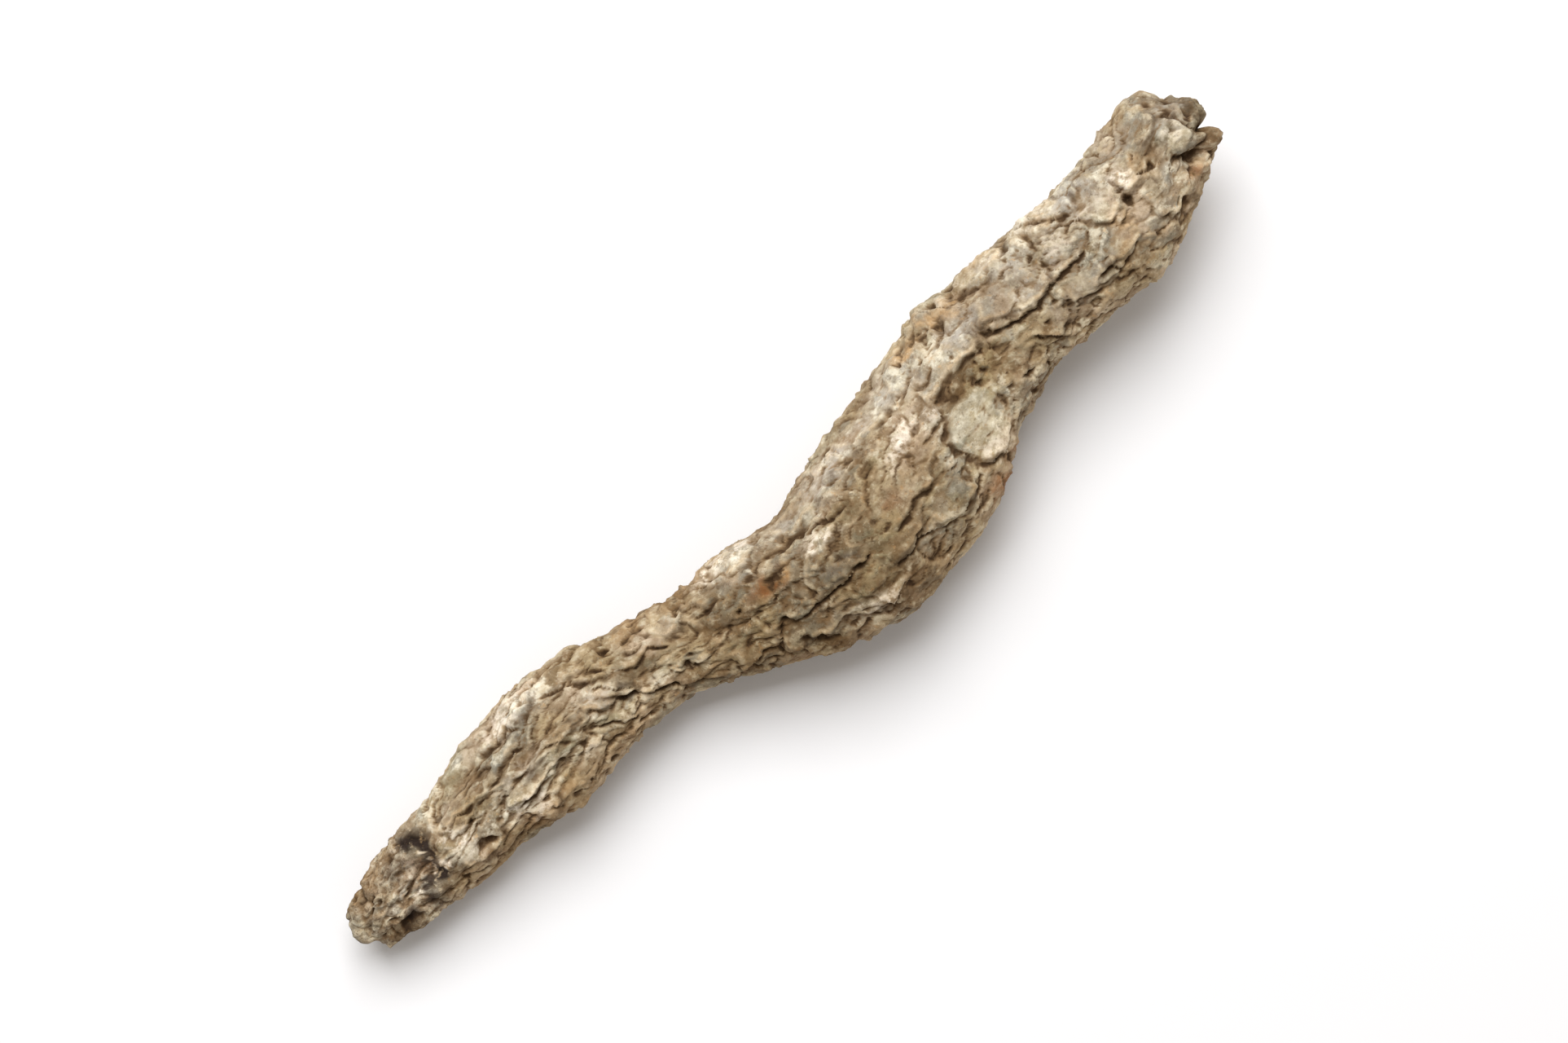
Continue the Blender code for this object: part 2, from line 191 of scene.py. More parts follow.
# Creases: depth, how far the crust on their left is lifted, and the points that they run through.
CREASES = (
    (0.44, 0.27, ((-8.2, -4.8), (-6.2, -4.9), (-4.7, -5.2), (-3.7, -4.3), (-2.2, -5.1), (-0.3, -5.1),
        (2.3, -4.75), (3.2, -4.4))),
    (0.48, 0.23, ((-4.7, -5.2), (-4.3, -5.8), (-3.7, -6.7), (-3.0, -7.3), (-1.7, -8.0))),
    (0.52, 0.18, ((-3.2, -5.8), (-2.9, -6.3), (-2.3, -6.9), (-1.5, -7.3))),
    (0.24, 0.18, ((4.3, -4.7), (5.3, -4.6), (6.3, -4.7), (7.7, -4.5), (9.2, -4.6), (10.0, -4.3))),
    (0.32, 0.23, ((3.0, -6.3), (4.3, -6.0), (5.5, -6.2), (6.3, -6.7), (7.5, -7.0), (9.5, -7.2))),
    (0.32, 0.27, ((-0.8, -6.8), (0.6, -7.0), (1.6, -7.7), (2.6, -7.4), (3.6, -7.1))),
    (0.28, 0.23, ((0.7, -1.4), (1.7, -1.6), (2.8, -1.75), (4.0, -1.8))),
    (0.24, 0.18, ((8.8, -2.3), (9.8, -2.25), (10.8, -1.8), (11.3, -1.3))),
    (0.20, 0.05, ((10.8, -5.3), (10.1, -4.4), (10.1, -3.4), (10.5, -2.5), (11.3, -1.9))),
    (0.32, 0.23, ((11.0, -1.3), (12.0, -0.9), (13.2, -0.7), (14.7, -0.6), (15.7, -0.8))),
    (0.32, 0.14, ((11.8, -1.6), (12.8, -1.7), (14.0, -2.1), (15.0, -2.6))),
    (0.24, 0.18, ((7.8, -5.8), (8.8, -6.0), (9.3, -5.5), (10.0, -5.3))),
    (0.28, 0.18, ((-7.5, -0.8), (-6.3, -1.0), (-5.4, -1.1))),
    (0.28, 0.18, ((-7.2, -2.2), (-5.8, -2.3), (-5.0, -2.2))),
    (0.52, 0.18, ((-14.7, -0.1), (-13.3, -1.3), (-12.0, -2.1), (-10.1, -3.4), (-8.1, -4.4))),
    (0.32, 0.20, ((-16.7, -0.7), (-15.7, -1.4), (-14.7, -1.9), (-13.3, -2.8))),
    (0.28, 0.20, ((-19.0, -0.2), (-17.8, -0.7), (-17.1, -1.4), (-16.2, -1.9))),
    (0.30, 0.20, ((-15.6, 1.6), (-14.5, 1.1), (-13.3, 0.2), (-12.0, -0.3))),
    (0.26, 0.15, ((-12.5, 1.0), (-11.2, 0.3), (-10.2, 0.0))),
    (0.26, 0.15, ((-11.5, -1.2), (-10.4, -1.7), (-9.3, -2.4), (-8.2, -2.9))),
    (0.28, 0.20, ((-3.6, -2.1), (-2.7, -1.9), (-1.7, -1.9), (-1.0, -2.2))),
    (0.28, 0.23, ((-10.0, 0.4), (-9.3, -0.3), (-8.7, -0.6))),
    (0.24, 0.23, ((-4.5, 0.2), (-4.0, -0.5), (-3.0, -0.6), (-2.3, -0.3))),
    (0.28, 0.27, ((-0.7, -3.2), (0.0, -3.5), (1.0, -3.3), (1.8, -2.7), (2.6, -2.2))),
    (0.28, 0.18, ((-3.7, -3.2), (-2.7, -3.0), (-1.7, -3.3), (-1.0, -3.8))),
    (0.24, 0.14, ((10.3, 0.0), (11.2, 0.3), (12.0, 0.7), (13.0, 0.8))),
    (0.24, 0.18, ((-0.7, -6.7), (-0.75, -6.0), (-0.3, -5.5))),
    (0.44, 0.32, ((15.8, 0.1), (16.5, -0.2), (17.3, -0.8), (18.1, -1.25), (19.0, -1.1), (19.8, -0.9),
        (20.7, -0.8), (21.7, -0.9), (22.4, -0.6), (23.4, -0.7))),
    (0.32, 0.27, ((21.3, 2.8), (22.2, 2.6), (23.2, 1.9), (23.8, 1.6), (24.7, 1.6))),
    (0.28, 0.27, ((24.7, 0.3), (25.0, -0.2), (25.7, -0.7), (26.1, -0.7), (26.8, -0.2), (27.2, 0.2))),
    (0.28, 0.23, ((27.8, -1.5), (28.5, -1.3), (29.3, -1.1), (29.9, -1.0))),
    (0.40, 0.32, ((30.2, -0.3), (31.0, -0.8), (31.5, -1.0), (32.3, -0.8), (32.9, -0.3))),
    (0.42, 0.18, ((32.0, 1.9), (31.9, 1.3), (32.2, 0.5), (32.7, 0.0))),
    (0.32, 0.18, ((22.8, -2.3), (23.7, -2.4), (24.0, -2.8), (25.0, -3.1), (26.0, -2.7))),
    (0.32, 0.18, ((17.4, -1.9), (18.2, -2.3), (19.0, -3.2), (20.0, -3.7), (21.0, -3.8), (22.3, -4.0))),
    (0.32, 0.18, ((15.0, -3.2), (16.5, -3.5), (17.7, -3.5), (18.0, -3.1))),
    (0.16, 0.05, ((14.5, -3.3), (14.8, -4.3), (14.3, -5.5))),
    (0.36, 0.27, ((10.8, -5.3), (11.5, -5.9), (12.3, -6.2), (13.3, -5.9))),
    (0.24, 0.18, ((16.5, 2.7), (17.3, 2.1), (18.2, 2.0), (18.3, 2.5))),
    (0.24, 0.09, ((20.2, 2.8), (20.3, 2.2), (20.7, 1.7))),
    (0.32, 0.09, ((21.2, 1.0), (21.3, 2.0), (20.8, 3.0))),
    (0.28, 0.18, ((22.8, 0.2), (23.7, -0.2), (24.5, 0.0))),
    (0.24, 0.23, ((27.2, 0.9), (28.7, 0.6), (29.3, 0.2))),
    (0.20, 0.14, ((28.8, 2.0), (29.0, 1.3), (29.2, 0.7))),
    (0.24, 0.14, ((29.8, 2.2), (30.5, 2.3), (31.3, 2.7))),
    (0.36, 0.09, ((14.4, 2.1), (15.3, 2.35))),
    (0.36, 0.23, ((-26.3, 1.0), (-25.7, 0.6), (-24.7, 0.4), (-23.7, 0.2), (-22.8, 0.1), (-21.8, 0.4),
        (-21.2, 0.8), (-20.0, 0.9), (-19.2, 0.75))),
    (0.28, 0.18, ((-22.7, 1.7), (-21.7, 1.5), (-21.2, 1.1))),
    (0.28, 0.27, ((-21.5, 2.2), (-20.5, 1.9), (-19.5, 1.9), (-18.7, 1.6), (-17.6, 1.9))),
    (0.28, 0.18, ((-17.0, 2.2), (-15.8, 1.8), (-14.5, 1.6), (-13.5, 1.0), (-12.8, 0.4))),
    (0.46, 0.18, ((-13.2, 0.3), (-12.2, -0.2), (-11.0, -0.3), (-10.0, -0.4), (-9.2, -0.7))),
    (0.28, 0.18, ((-25.7, -0.2), (-24.7, -0.3), (-23.3, -0.5), (-22.3, -0.7), (-21.7, -0.3))),
    (0.32, 0.23, ((-22.3, -1.7), (-20.8, -1.8), (-19.5, -1.8), (-18.3, -1.7), (-17.3, -2.2),
        (-16.3, -2.8), (-15.2, -3.2), (-13.5, -3.3))),
    (0.28, 0.18, ((-17.5, -0.3), (-16.5, -0.8), (-15.3, -1.3), (-14.3, -1.5))),
    (0.28, 0.27, ((-14.5, 0.7), (-13.7, -0.2), (-12.8, -1.0), (-12.2, -1.7))),
    (0.36, 0.18, ((-27.2, -2.2), (-26.7, -2.8), (-25.7, -3.1), (-24.3, -3.2), (-23.3, -3.0),
        (-21.7, -3.3), (-20.7, -3.7))),
    (0.32, 0.18, ((-20.8, -2.7), (-20.2, -3.3), (-19.0, -3.5), (-17.7, -3.5))),
    (0.24, 0.14, ((-19.0, -3.1), (-18.3, -2.6), (-17.5, -2.5))),
    (0.36, 0.18, ((-28.0, 1.5), (-27.2, 0.9), (-27.3, 0.0), (-27.6, -1.0), (-28.3, -1.6), (-29.8, -1.6))),
)
# Knobs and hollows of the upper side: plan x and y, radius, and how far they rise or sink.
KNOBS = (
    (-33.5, -0.8, 0.5, 0.5), (-33.3, 0.1, 0.6, 0.45), (-33.1, -1.3, 0.4, 0.25), (-32.8, -2.0, 0.25, -0.2),
    (-32.7, -0.3, 0.3, -0.3), (-32.6, 1.0, 0.6, 0.2), (-32.4, -2.5, 0.7, 0.6), (-32.1, 0.5, 0.35, -0.3),
    (-31.6, 1.3, 0.5, 0.25), (-31.1, -2.5, 0.6, -0.7), (-30.6, 1.2, 1.3, 0.2), (-28.4, 0.2, 1.0, 0.3),
    (-24.8, -2.1, 0.45, -0.7), (-21.6, 3.0, 1.4, 0.3), (-19.2, -3.9, 2.0, 0.3), (-18.7, 2.5, 1.6, 0.4),
    (-12.3, 1.3, 0.3, -0.5), (-11.8, -0.8, 0.7, -0.35), (-8.6, 0.9, 1.4, 0.4), (-7.9, 0.5, 0.35, -0.5),
    (-4.5, -5.6, 0.30, -0.4), (-4.0, -6.3, 0.30, -0.4), (-3.2, 0.4, 1.2, 0.4), (-3.0, -2.45, 0.55, -0.5),
    (-3.0, -6.1, 0.35, -0.5), (-2.5, -6.7, 0.35, -0.5), (-2.2, -2.4, 0.55, -0.45), (0.0, -4.1, 0.9, 0.2),
    (1.2, -7.2, 1.4, 0.3), (5.6, -1.1, 0.9, 0.2), (7.2, -3.8, 1.1, 0.3), (10.4, -1.5, 0.5, 0.4),
    (11.9, -5.2, 1.1, 0.3), (12.4, -1.2, 0.8, -0.3), (13.4, 3.1, 0.3, -0.5), (14.0, -1.6, 0.9, -0.4),
    (14.4, 3.0, 1.5, 0.7), (15.0, 2.9, 0.35, -0.6), (15.6, -2.2, 0.9, -0.3), (16.2, 3.2, 0.45, -0.4),
    (18.7, 3.0, 1.6, 0.3), (19.1, -2.0, 0.25, -0.5), (20.5, 2.3, 0.6, 0.3), (21.2, 3.1, 0.35, -0.7),
    (22.2, 0.8, 0.9, 0.4), (22.3, 2.9, 1.3, 0.4), (24.1, 3.0, 0.7, -0.3), (26.0, -4.5, 1.6, 0.3),
    (27.25, -0.6, 0.28, -0.9), (27.7, 0.7, 0.9, 0.3), (29.2, 0.3, 0.22, -0.7), (30.4, -2.2, 0.8, 0.4),
    (30.4, 3.6, 1.4, 0.3), (30.8, -2.0, 0.35, -0.5), (31.2, 2.1, 0.5, 0.35), (31.2, 0.4, 1.0, 0.5),
    (31.4, -1.3, 0.5, -0.8), (31.6, 1.3, 0.3, -0.3), (31.6, -1.9, 0.8, 0.5), (31.9, 2.5, 0.4, 0.2),
    (32.3, 1.4, 0.5, 0.4), (32.5, 1.0, 0.35, -0.45), (32.8, -1.1, 0.7, 0.6), (33.0, -0.8, 0.45, 0.4),
    (33.2, 0.9, 0.7, 0.4), (33.2, 2.4, 0.9, -0.5), (33.3, -1.3, 0.4, -0.3),
)
# Pairs of a knob and a pit scattered out of sight: how many, and the ranges of their turn round the root
# in degrees, their radius and their rise. Then the x, turn, radius and rise of the knob it rests on.
HIDDEN_PAIRS = 26
HIDDEN_PAIR = (((170, 370), (0.7, 1.5), (0.2, 0.6)), ((175, 365), (0.5, 0.8), (-0.7, -0.4)))
HIDDEN_SEED = 4
REST_KNOB = (11.0, 294.0, 1.8, 0.9)
# The flat round scar of a branch, with a soft edge and a narrow groove round it.
BRANCH_SCAR = (12.4, -3.9)
BRANCH_SCAR_RADIUS = 2.2
BRANCH_SCAR_RISE = 0.10
SCAR_EDGE = 0.35
RIM_WIDTH = 0.22
RIM_DEPTH = 0.22
# The two clefts that split the crown's end into lobes: y, depth and half-width, and the x between which
# they open.
CLEFTS = (
    (-0.15, 0.8, 0.24),
    (2.7, 0.5, 0.30),
)
CLEFT_START = 31.8
CLEFT_WHOLE = 33.0

# Scales of crust still held at one side: lift of the free side, the way it faces in degrees from +X,
# how much paler than the rest it is, and its outline in plan.
SCALES = (
    (0.22, -60, 1.0, ((27.0, 1.2), (28.3, 1.1), (28.4, 0.3), (27.6, 0.0), (27.1, 0.3))),
    (0.28, -90, 0.8, ((-0.75, -6.65), (0.3, -6.7), (2.0, -6.8), (3.3, -6.9), (4.2, -6.7), (3.6, -7.2),
        (2.0, -8.0), (1.7, -7.5), (0.8, -7.5), (-0.3, -7.2))),
    (0.30, -80, 0.2, ((26.2, 2.1), (24.6, 1.8), (24.4, 0.9), (24.8, 0.3), (25.1, -0.4), (25.4, -0.8),
        (26.0, -0.7), (26.8, -0.4), (27.0, 0.3), (26.9, 1.4))),
    (0.26, -70, 0.8, ((21.3, 2.5), (22.1, 3.2), (23.2, 3.2), (24.1, 2.6), (24.8, 1.7), (23.6, 1.6),
        (22.6, 1.9), (21.9, 2.0))),
    (0.30, -90, -0.1, ((16.1, 0.3), (17.3, -0.3), (18.0, -0.5), (18.7, 0.0), (19.3, 0.8), (18.7, 1.4),
        (18.0, 1.9), (16.9, 1.4))),
    (0.30, -90, -0.1, ((18.0, -0.6), (18.7, -0.8), (19.6, -0.9), (20.5, -0.8), (21.0, 0.0), (20.3, 0.4),
        (19.4, 0.3), (18.8, -0.1))),
    (0.26, -80, -0.1, ((27.9, -1.6), (29.0, -1.2), (30.2, -1.0), (30.6, -1.8), (30.0, -2.6), (28.8, -2.9),
        (28.0, -2.4))),
    (0.26, -90, 0.5, ((-21.5, 2.3), (-20.0, 3.0), (-18.2, 3.1), (-17.3, 2.5), (-18.0, 1.8),
        (-19.5, 1.8))),
    (0.20, -90, 0.8, ((-21.5, -2.6), (-20.1, -2.6), (-20.0, -3.1), (-21.3, -3.2))),
    (0.26, -80, 0.4, ((-10.4, 0.8), (-9.8, 0.2), (-9.0, -0.4), (-8.3, -0.1), (-7.6, 0.3), (-8.0, 0.9),
        (-9.0, 1.3))),
    (0.28, -120, -0.1, ((-4.2, -4.9), (-3.0, -4.9), (-2.0, -5.3), (-1.3, -6.0), (-1.2, -6.9),
        (-2.0, -6.7), (-2.8, -6.0), (-3.3, -5.7), (-3.6, -6.3), (-4.3, -5.6))),
    (0.18, -80, -0.9, ((-0.6, -4.0), (0.3, -3.8), (1.2, -4.0), (1.9, -4.3), (1.0, -4.8), (-0.3, -4.8))),
    (0.18, -60, 0.8, ((0.0, -2.3), (1.0, -2.1), (2.3, -2.0), (1.8, -2.5), (1.0, -3.1), (0.2, -2.8))),
    (0.24, -90, -0.1, ((4.2, -3.1), (5.6, -3.0), (7.0, -3.2), (8.4, -3.2), (8.0, -4.2), (6.2, -4.6),
        (4.8, -4.5))),
    (0.24, -90, -0.1, ((3.0, -4.9), (4.6, -4.9), (6.0, -5.0), (5.9, -5.8), (4.4, -5.9), (3.2, -6.0))),
    (0.24, -80, -0.1, ((6.3, -5.1), (8.0, -4.9), (9.4, -5.0), (9.7, -6.4), (8.2, -6.9), (6.8, -6.5))),
    (0.24, -70, 0.2, ((10.6, 0.6), (12.4, 0.9), (13.6, 0.9), (15.2, 0.6), (15.4, -0.5), (13.4, -0.5),
        (11.9, -0.6), (10.9, -0.9))),
    (0.16, -90, 0.1, ((-1.2, 0.3), (1.0, 0.4), (3.0, 0.8), (4.6, 1.0), (4.0, 0.0), (2.4, -0.7),
        (0.2, -0.9))),
    (0.16, -80, 0.1, ((5.2, 1.6), (8.0, 2.0), (10.4, 2.2), (10.2, 1.2), (8.4, 0.4), (6.2, 0.2))),
    (0.16, -90, 0.5, ((-5.2, 0.9), (-2.2, 0.7), (-1.9, -0.1), (-3.2, -0.6), (-4.6, -0.5), (-5.4, 0.0))),
    (0.24, -80, 0.1, ((16.6, -1.4), (18.0, -1.6), (19.4, -1.5), (20.4, -1.7), (20.2, -2.9), (18.9, -2.9),
        (18.0, -2.2), (16.9, -2.3))),
    (0.24, -80, 0.0, ((20.9, -1.3), (22.4, -1.2), (23.6, -1.3), (23.4, -2.2), (22.2, -2.6),
        (21.0, -2.4))),
    (0.22, -80, -0.1, ((23.9, -1.2), (25.3, -1.3), (26.6, -1.7), (26.4, -2.5), (25.0, -2.8),
        (24.0, -2.2))),
    (0.22, -60, 0.1, ((29.2, 3.2), (30.8, 3.6), (31.4, 2.6), (31.2, 1.6), (30.0, 1.4), (29.4, 2.0))),
    (0.24, -80, 0.3, ((16.4, 3.0), (18.2, 3.2), (19.6, 3.1), (20.2, 2.6), (19.2, 2.0), (17.6, 1.9))),
    (0.24, -90, 0.2, ((-26.8, 0.9), (-25.2, 1.5), (-23.6, 1.3), (-22.2, 1.2), (-22.6, 0.3), (-24.6, 0.4),
        (-26.0, 0.4))),
    (0.24, -90, 0.1, ((-21.2, 0.4), (-19.4, 0.5), (-17.6, 0.2), (-16.2, -0.4), (-17.8, -0.9),
        (-19.8, -0.6), (-21.0, -0.3))),
    (0.24, -90, 0.1, ((-22.8, -0.9), (-21.0, -0.8), (-19.0, -1.0), (-17.8, -1.4), (-19.6, -1.7),
        (-21.8, -1.6))),
    (0.24, -100, 0.1, ((-15.8, 0.6), (-14.4, 0.4), (-13.2, -0.4), (-12.6, -1.4), (-14.0, -1.2),
        (-15.4, -0.4))),
    (0.24, -90, 0.0, ((-26.4, -1.0), (-24.8, -0.9), (-23.6, -1.3), (-23.8, -2.4), (-25.4, -2.7),
        (-26.6, -2.2))),
)


def grain(points, size, seed):
    """Smooth noise, about -0.9 to 0.9. Its size in millimetres is one number, or one for each axis."""
    scaled = (points / np.array(size) + seed * SEED_STEP).tolist()
    return np.array([noise.noise(point) for point in scaled])


def raised(points, rise, size, seed):
    """Smooth noise of the given height."""
    return rise * grain(points, size, seed)


def warped(points, size, amount, seed):
    """The points pushed about by slow noise, so that what is read there doesn't run straight."""
    return points + amount * np.stack([grain(points, size, seed + axis) for axis in range(3)], axis=1)


def ease(x, low, high):
    """0 below low, 1 above high, and smooth between."""
    part = np.clip((x - low) / (high - low), 0, 1)
    return part * part * (3 - 2 * part)


def along_grain(points):
    """Straightened points with the root's slow twist taken out, and its drawn-out half drawn back in."""
    x, y, z = points.T
    angle = TWIST * np.minimum(x, 0.0)
    run = np.linspace(TIP_X - END_MARGIN, CROWN_X + END_MARGIN, RUN_STEPS)
    rate = DRAWN_OUT + (1 - DRAWN_OUT) * ease(run, SLIM_TO, THICK_FROM)
    drawn_back = np.interp(x, run, np.cumsum(rate) * (run[1] - run[0]))
    cosine = np.cos(angle)
    sine = np.sin(angle)
    return np.stack([drawn_back, y * cosine - z * sine, y * sine + z * cosine], axis=1)


def beside(points, route):
    """How far each point is to the left of the route, and a strength that fades out at its ends."""
    nearest = np.full(len(points), np.inf)
    across = np.zeros(len(points))
    along = np.zeros(len(points))
    whole = 0.0
    for start, end in zip(route, route[1:]):
        step = end - start
        length = np.linalg.norm(step)
        part = np.clip((points - start) @ step / length**2, 0, 1)
        away = points - start - part[:, None] * step
        gap = np.linalg.norm(away, axis=1)
        left = np.sign((np.cross(outward, step) * away).sum(axis=1))
        closer = gap < nearest
        across = np.where(closer, left * gap, across)
        along = np.where(closer, whole + part * length, along)
        nearest = np.minimum(nearest, gap)
        whole += length
    return across, ease(along, 0, CREASE_FADE) * ease(whole - along, 0, CREASE_FADE)


def within(points, outline):
    """How far each point is inside a closed outline in plan, and below nothing outside it."""
    plan = points[:, :2]
    gap = np.full(len(plan), np.inf)
    inside = np.zeros(len(plan), bool)
    for start, end in zip(outline, outline[1:] + outline[:1]):
        start = np.array(start)
        step = np.array(end) - start
        part = np.clip((plan - start) @ step / (step @ step), 0, 1)
        gap = np.minimum(gap, np.linalg.norm(plan - start - part[:, None] * step, axis=1))
        if step[1]:
            crossed = (plan[:, 1] > start[1]) != (plan[:, 1] > end[1])
            inside ^= crossed & (plan[:, 0] < start[0] + (plan[:, 1] - start[1]) * step[0] / step[1])
    return np.where(inside, gap, -gap)


def hidden_knobs():
    """The knob that the root rests on, and pairs of a knob and a pit over its flanks and underside."""
    x, turn, radius, rise = REST_KNOB
    knobs = [(on_skin(x, math.radians(turn)), radius, rise)]
    draw = random.Random(HIDDEN_SEED)
    for _ in range(HIDDEN_PAIRS):
        for turns, radii, rises in HIDDEN_PAIR:
            x = draw.uniform(TIP_X + 0.3, CROWN_X - 0.1)
            centre = on_skin(x, math.radians(draw.uniform(*turns)))
            knobs.append((centre, draw.uniform(*radii), draw.uniform(*rises)))
    return knobs


def furrowed(values, dome, depth, width):
    """Rounded backs with a narrow groove between them wherever the noise crosses zero."""
    size = np.abs(values)
    return dome * np.minimum(size, BACK_WIDTH) - depth * np.exp(-size / width)


def bell(x, middle, width):
    """1 at the middle, fading to nothing on both sides over the width."""
    return np.exp(-(((x - middle) / width) ** 2))


# Waves that push features off a straight run: their size, how far they push, and a seed.
RAGGED = (0.9, 0.22, 81)
TORN = (0.4, 0.12, 85)
WANDERING = ((1.5, 1.3, 1.3), 0.35, 87)
ROUGH_EDGED = ((0.6, 0.5, 0.5), 0.22, 95)
LONG_WAVES = ((4.0, 3.2, 3.2), 1.2, 11)
SHORT_WAVES = ((2.6, 1.8, 1.8), 0.6, 15)
# Furrows: size and seed of the noise they follow, then height of their backs, depth and width.
LONG_FURROWS = ((3.6, 1.6, 1.6), 21)
LONG_RELIEF = (0.34, 0.20, 0.08)
SHORT_FURROWS = ((2.4, 1.5, 1.5), 31)
SHORT_RELIEF = (0.20, 0.12, 0.08)
# Swells, and the lumps and crumbs of the torn tip: height, size and seed.
BROAD_SWELL = (0.38, (6.5, 4.2, 4.2), 3)
SMALL_SWELL = (0.20, (3.2, 2.6, 2.6), 5)
TIP_LUMPS = (0.35, (1.1, 0.9, 0.9), 61)
TIP_CRUMBS = (0.22, (0.5, 0.45, 0.45), 63)
TIP_SINK = 0.08
TORN_TO = -29.5
WHOLE_FROM = -26.5

towards_crown = ease(smooth_skin[:, 0], SLIM_TO, THICK_FROM)
at_tip = 1 - ease(smooth_skin[:, 0], TORN_TO, WHOLE_FROM)
facing_up = ease(outward[:, 2], 0, 0.3)
ragged = warped(smooth_skin, *RAGGED)
torn = warped(ragged, *TORN)
wandering = warped(torn, *WANDERING)
rough_edged = warped(wandering, *ROUGH_EDGED)
torn_straight = torn - np.stack([np.zeros(len(torn)), middle_y, middle_z], axis=1)
torn_straight[:, 2] = half_heights + DOWN_THE_SIDES * (torn_straight[:, 2] - half_heights)
grained = along_grain(torn_straight)
depths_in_scales = [within(torn, outline) for _, _, _, outline in SCALES]
on_scale = facing_up * np.max([ease(depth, -0.1, 0.4) for depth in depths_in_scales], axis=0)
height = raised(straight, *BROAD_SWELL) + raised(straight, *SMALL_SWELL)
roughness = 1 - 0.6 * on_scale - 0.35 * towards_crown
values = grain(warped(grained, *LONG_WAVES), *LONG_FURROWS)
height += roughness * furrowed(values, *LONG_RELIEF)
roughness = (1 - 0.7 * on_scale) * (0.6 + 0.3 * towards_crown)
values = grain(warped(grained, *SHORT_WAVES), *SHORT_FURROWS)
height += roughness * furrowed(values, *SHORT_RELIEF)
height += at_tip * (np.abs(raised(ragged, *TIP_LUMPS)) - TIP_SINK + raised(torn, *TIP_CRUMBS))
bumps = [(on_upper_side(x, y), radius, rise) for x, y, radius, rise in KNOBS]
for centre, radius, rise in bumps + hidden_knobs():
    gap = np.linalg.norm((rough_edged if rise < 0 else ragged) - centre, axis=1)
    height += rise * np.exp(-((gap / radius) ** 3))
for cleft, depth, width in CLEFTS:
    height -= depth * ease(smooth_skin[:, 0], CLEFT_START, CLEFT_WHOLE) * bell(torn[:, 1], cleft, width)

# The flat scar, where a branch came off, keeps to one plane, whatever the skin round it does. Its face
# is grainy and cracked, and the groove runs only round its side towards the tip.
SCAR_GRAIN = (0.07, 0.9, 93)
SCAR_GRIT = (0.05, (0.45, 0.35, 0.35), 97)
SCAR_CRACKS = ((1.3, 1.0, 1.0), 99)
CRACK_DEPTH = 0.10
CRACK_WIDTH = 0.05
scar_centre = on_upper_side(*BRANCH_SCAR)
from_scar = np.linalg.norm(ragged - scar_centre, axis=1)
scar_facing = outward[np.argmin(np.linalg.norm(smooth_skin - scar_centre, axis=1))]
scar_plane = BRANCH_SCAR_RISE - (smooth_skin - scar_centre) @ scar_facing
scar_plane /= np.maximum(outward @ scar_facing, 0.5)
within_scar = 1 - ease(from_scar, BRANCH_SCAR_RADIUS - SCAR_EDGE, BRANCH_SCAR_RADIUS)
scar_texture = raised(straight, *SCAR_GRAIN) + raised(torn, *SCAR_GRIT)
scar_texture -= CRACK_DEPTH * np.exp(-np.abs(grain(wandering, *SCAR_CRACKS)) / CRACK_WIDTH)
height += within_scar * (scar_plane + scar_texture - height)
open_side = ease(-smooth_skin[:, 0] + BRANCH_SCAR[0], -1.0, 0.6)
scar_rim = open_side * bell(from_scar, BRANCH_SCAR_RADIUS + 0.1, RIM_WIDTH)
height -= RIM_DEPTH * scar_rim

# The lips are the paler raised edges of the crust, and under them lie dark lines of painted shadow,
# for the shade under the lips and in the grooves. Shallow creases break off in places.
CREASE_GAPS = (1.4, 91)
lips = np.zeros(len(smooth_skin))
# The groove round the scar gets painted shadow too.
undercut_shadow = 0.7 * scar_rim
gaps_in_creases = 0.2 + 0.8 * ease(grain(straight, *CREASE_GAPS), -0.3, 0.2)
for depth, lift, plan_points in CREASES:
    across, fade = beside(wandering, [on_upper_side(x, y) for x, y in plan_points])
    if depth < DEEP_CREASE:
        fade *= gaps_in_creases
    over = ease(across, -0.1, 0.12)
    height += fade * lift * over * np.exp(-np.abs(across) / LAP)
    height -= fade * depth * bell(across, -0.08, CREASE_WIDTH)
    lips = np.maximum(lips, fade * bell(across, 0.22, 0.16) * min(1, lift / 0.25))
    undercut_shadow = np.maximum(undercut_shadow, fade * bell(across, -0.12, 0.22) * min(1, depth / DEEP_CREASE))
scale_tone = np.zeros(len(smooth_skin))
for (lift, facing, paler, outline), depth in zip(SCALES, depths_in_scales):
    middle = np.mean(outline, axis=0)
    free_way = np.array([math.cos(math.radians(facing)), math.sin(math.radians(facing))])
    reach = np.abs((np.array(outline) - middle) @ free_way).max()
    freed = ease((torn[:, :2] - middle) @ free_way / reach, -1.1, 0.5) * facing_up
    height += lift * freed * ease(depth, -0.05, 0.10)
    edge = freed * min(1, lift / 0.2)
    lips = np.maximum(lips, edge * bell(depth, 0.17, 0.13))
    undercut_shadow = np.maximum(undercut_shadow, edge * bell(depth, -0.16, 0.16))
    scale_tone += paler * facing_up * ease(depth, -0.05, 0.1)

# The fine skin: thin papery crust in layers that broke into plates as the root shrank under it,
# with hair-fine wrinkles between, and the pinholes and ringed scars where rootlets came off.
WRINKLE_WAVES = ((1.6, 1.2, 1.2), 0.4, 101)
WRINKLES = ((1.5, 0.7, 0.7), 105)
WRINKLE_RELIEF = (0.10, 0.10, 0.09)
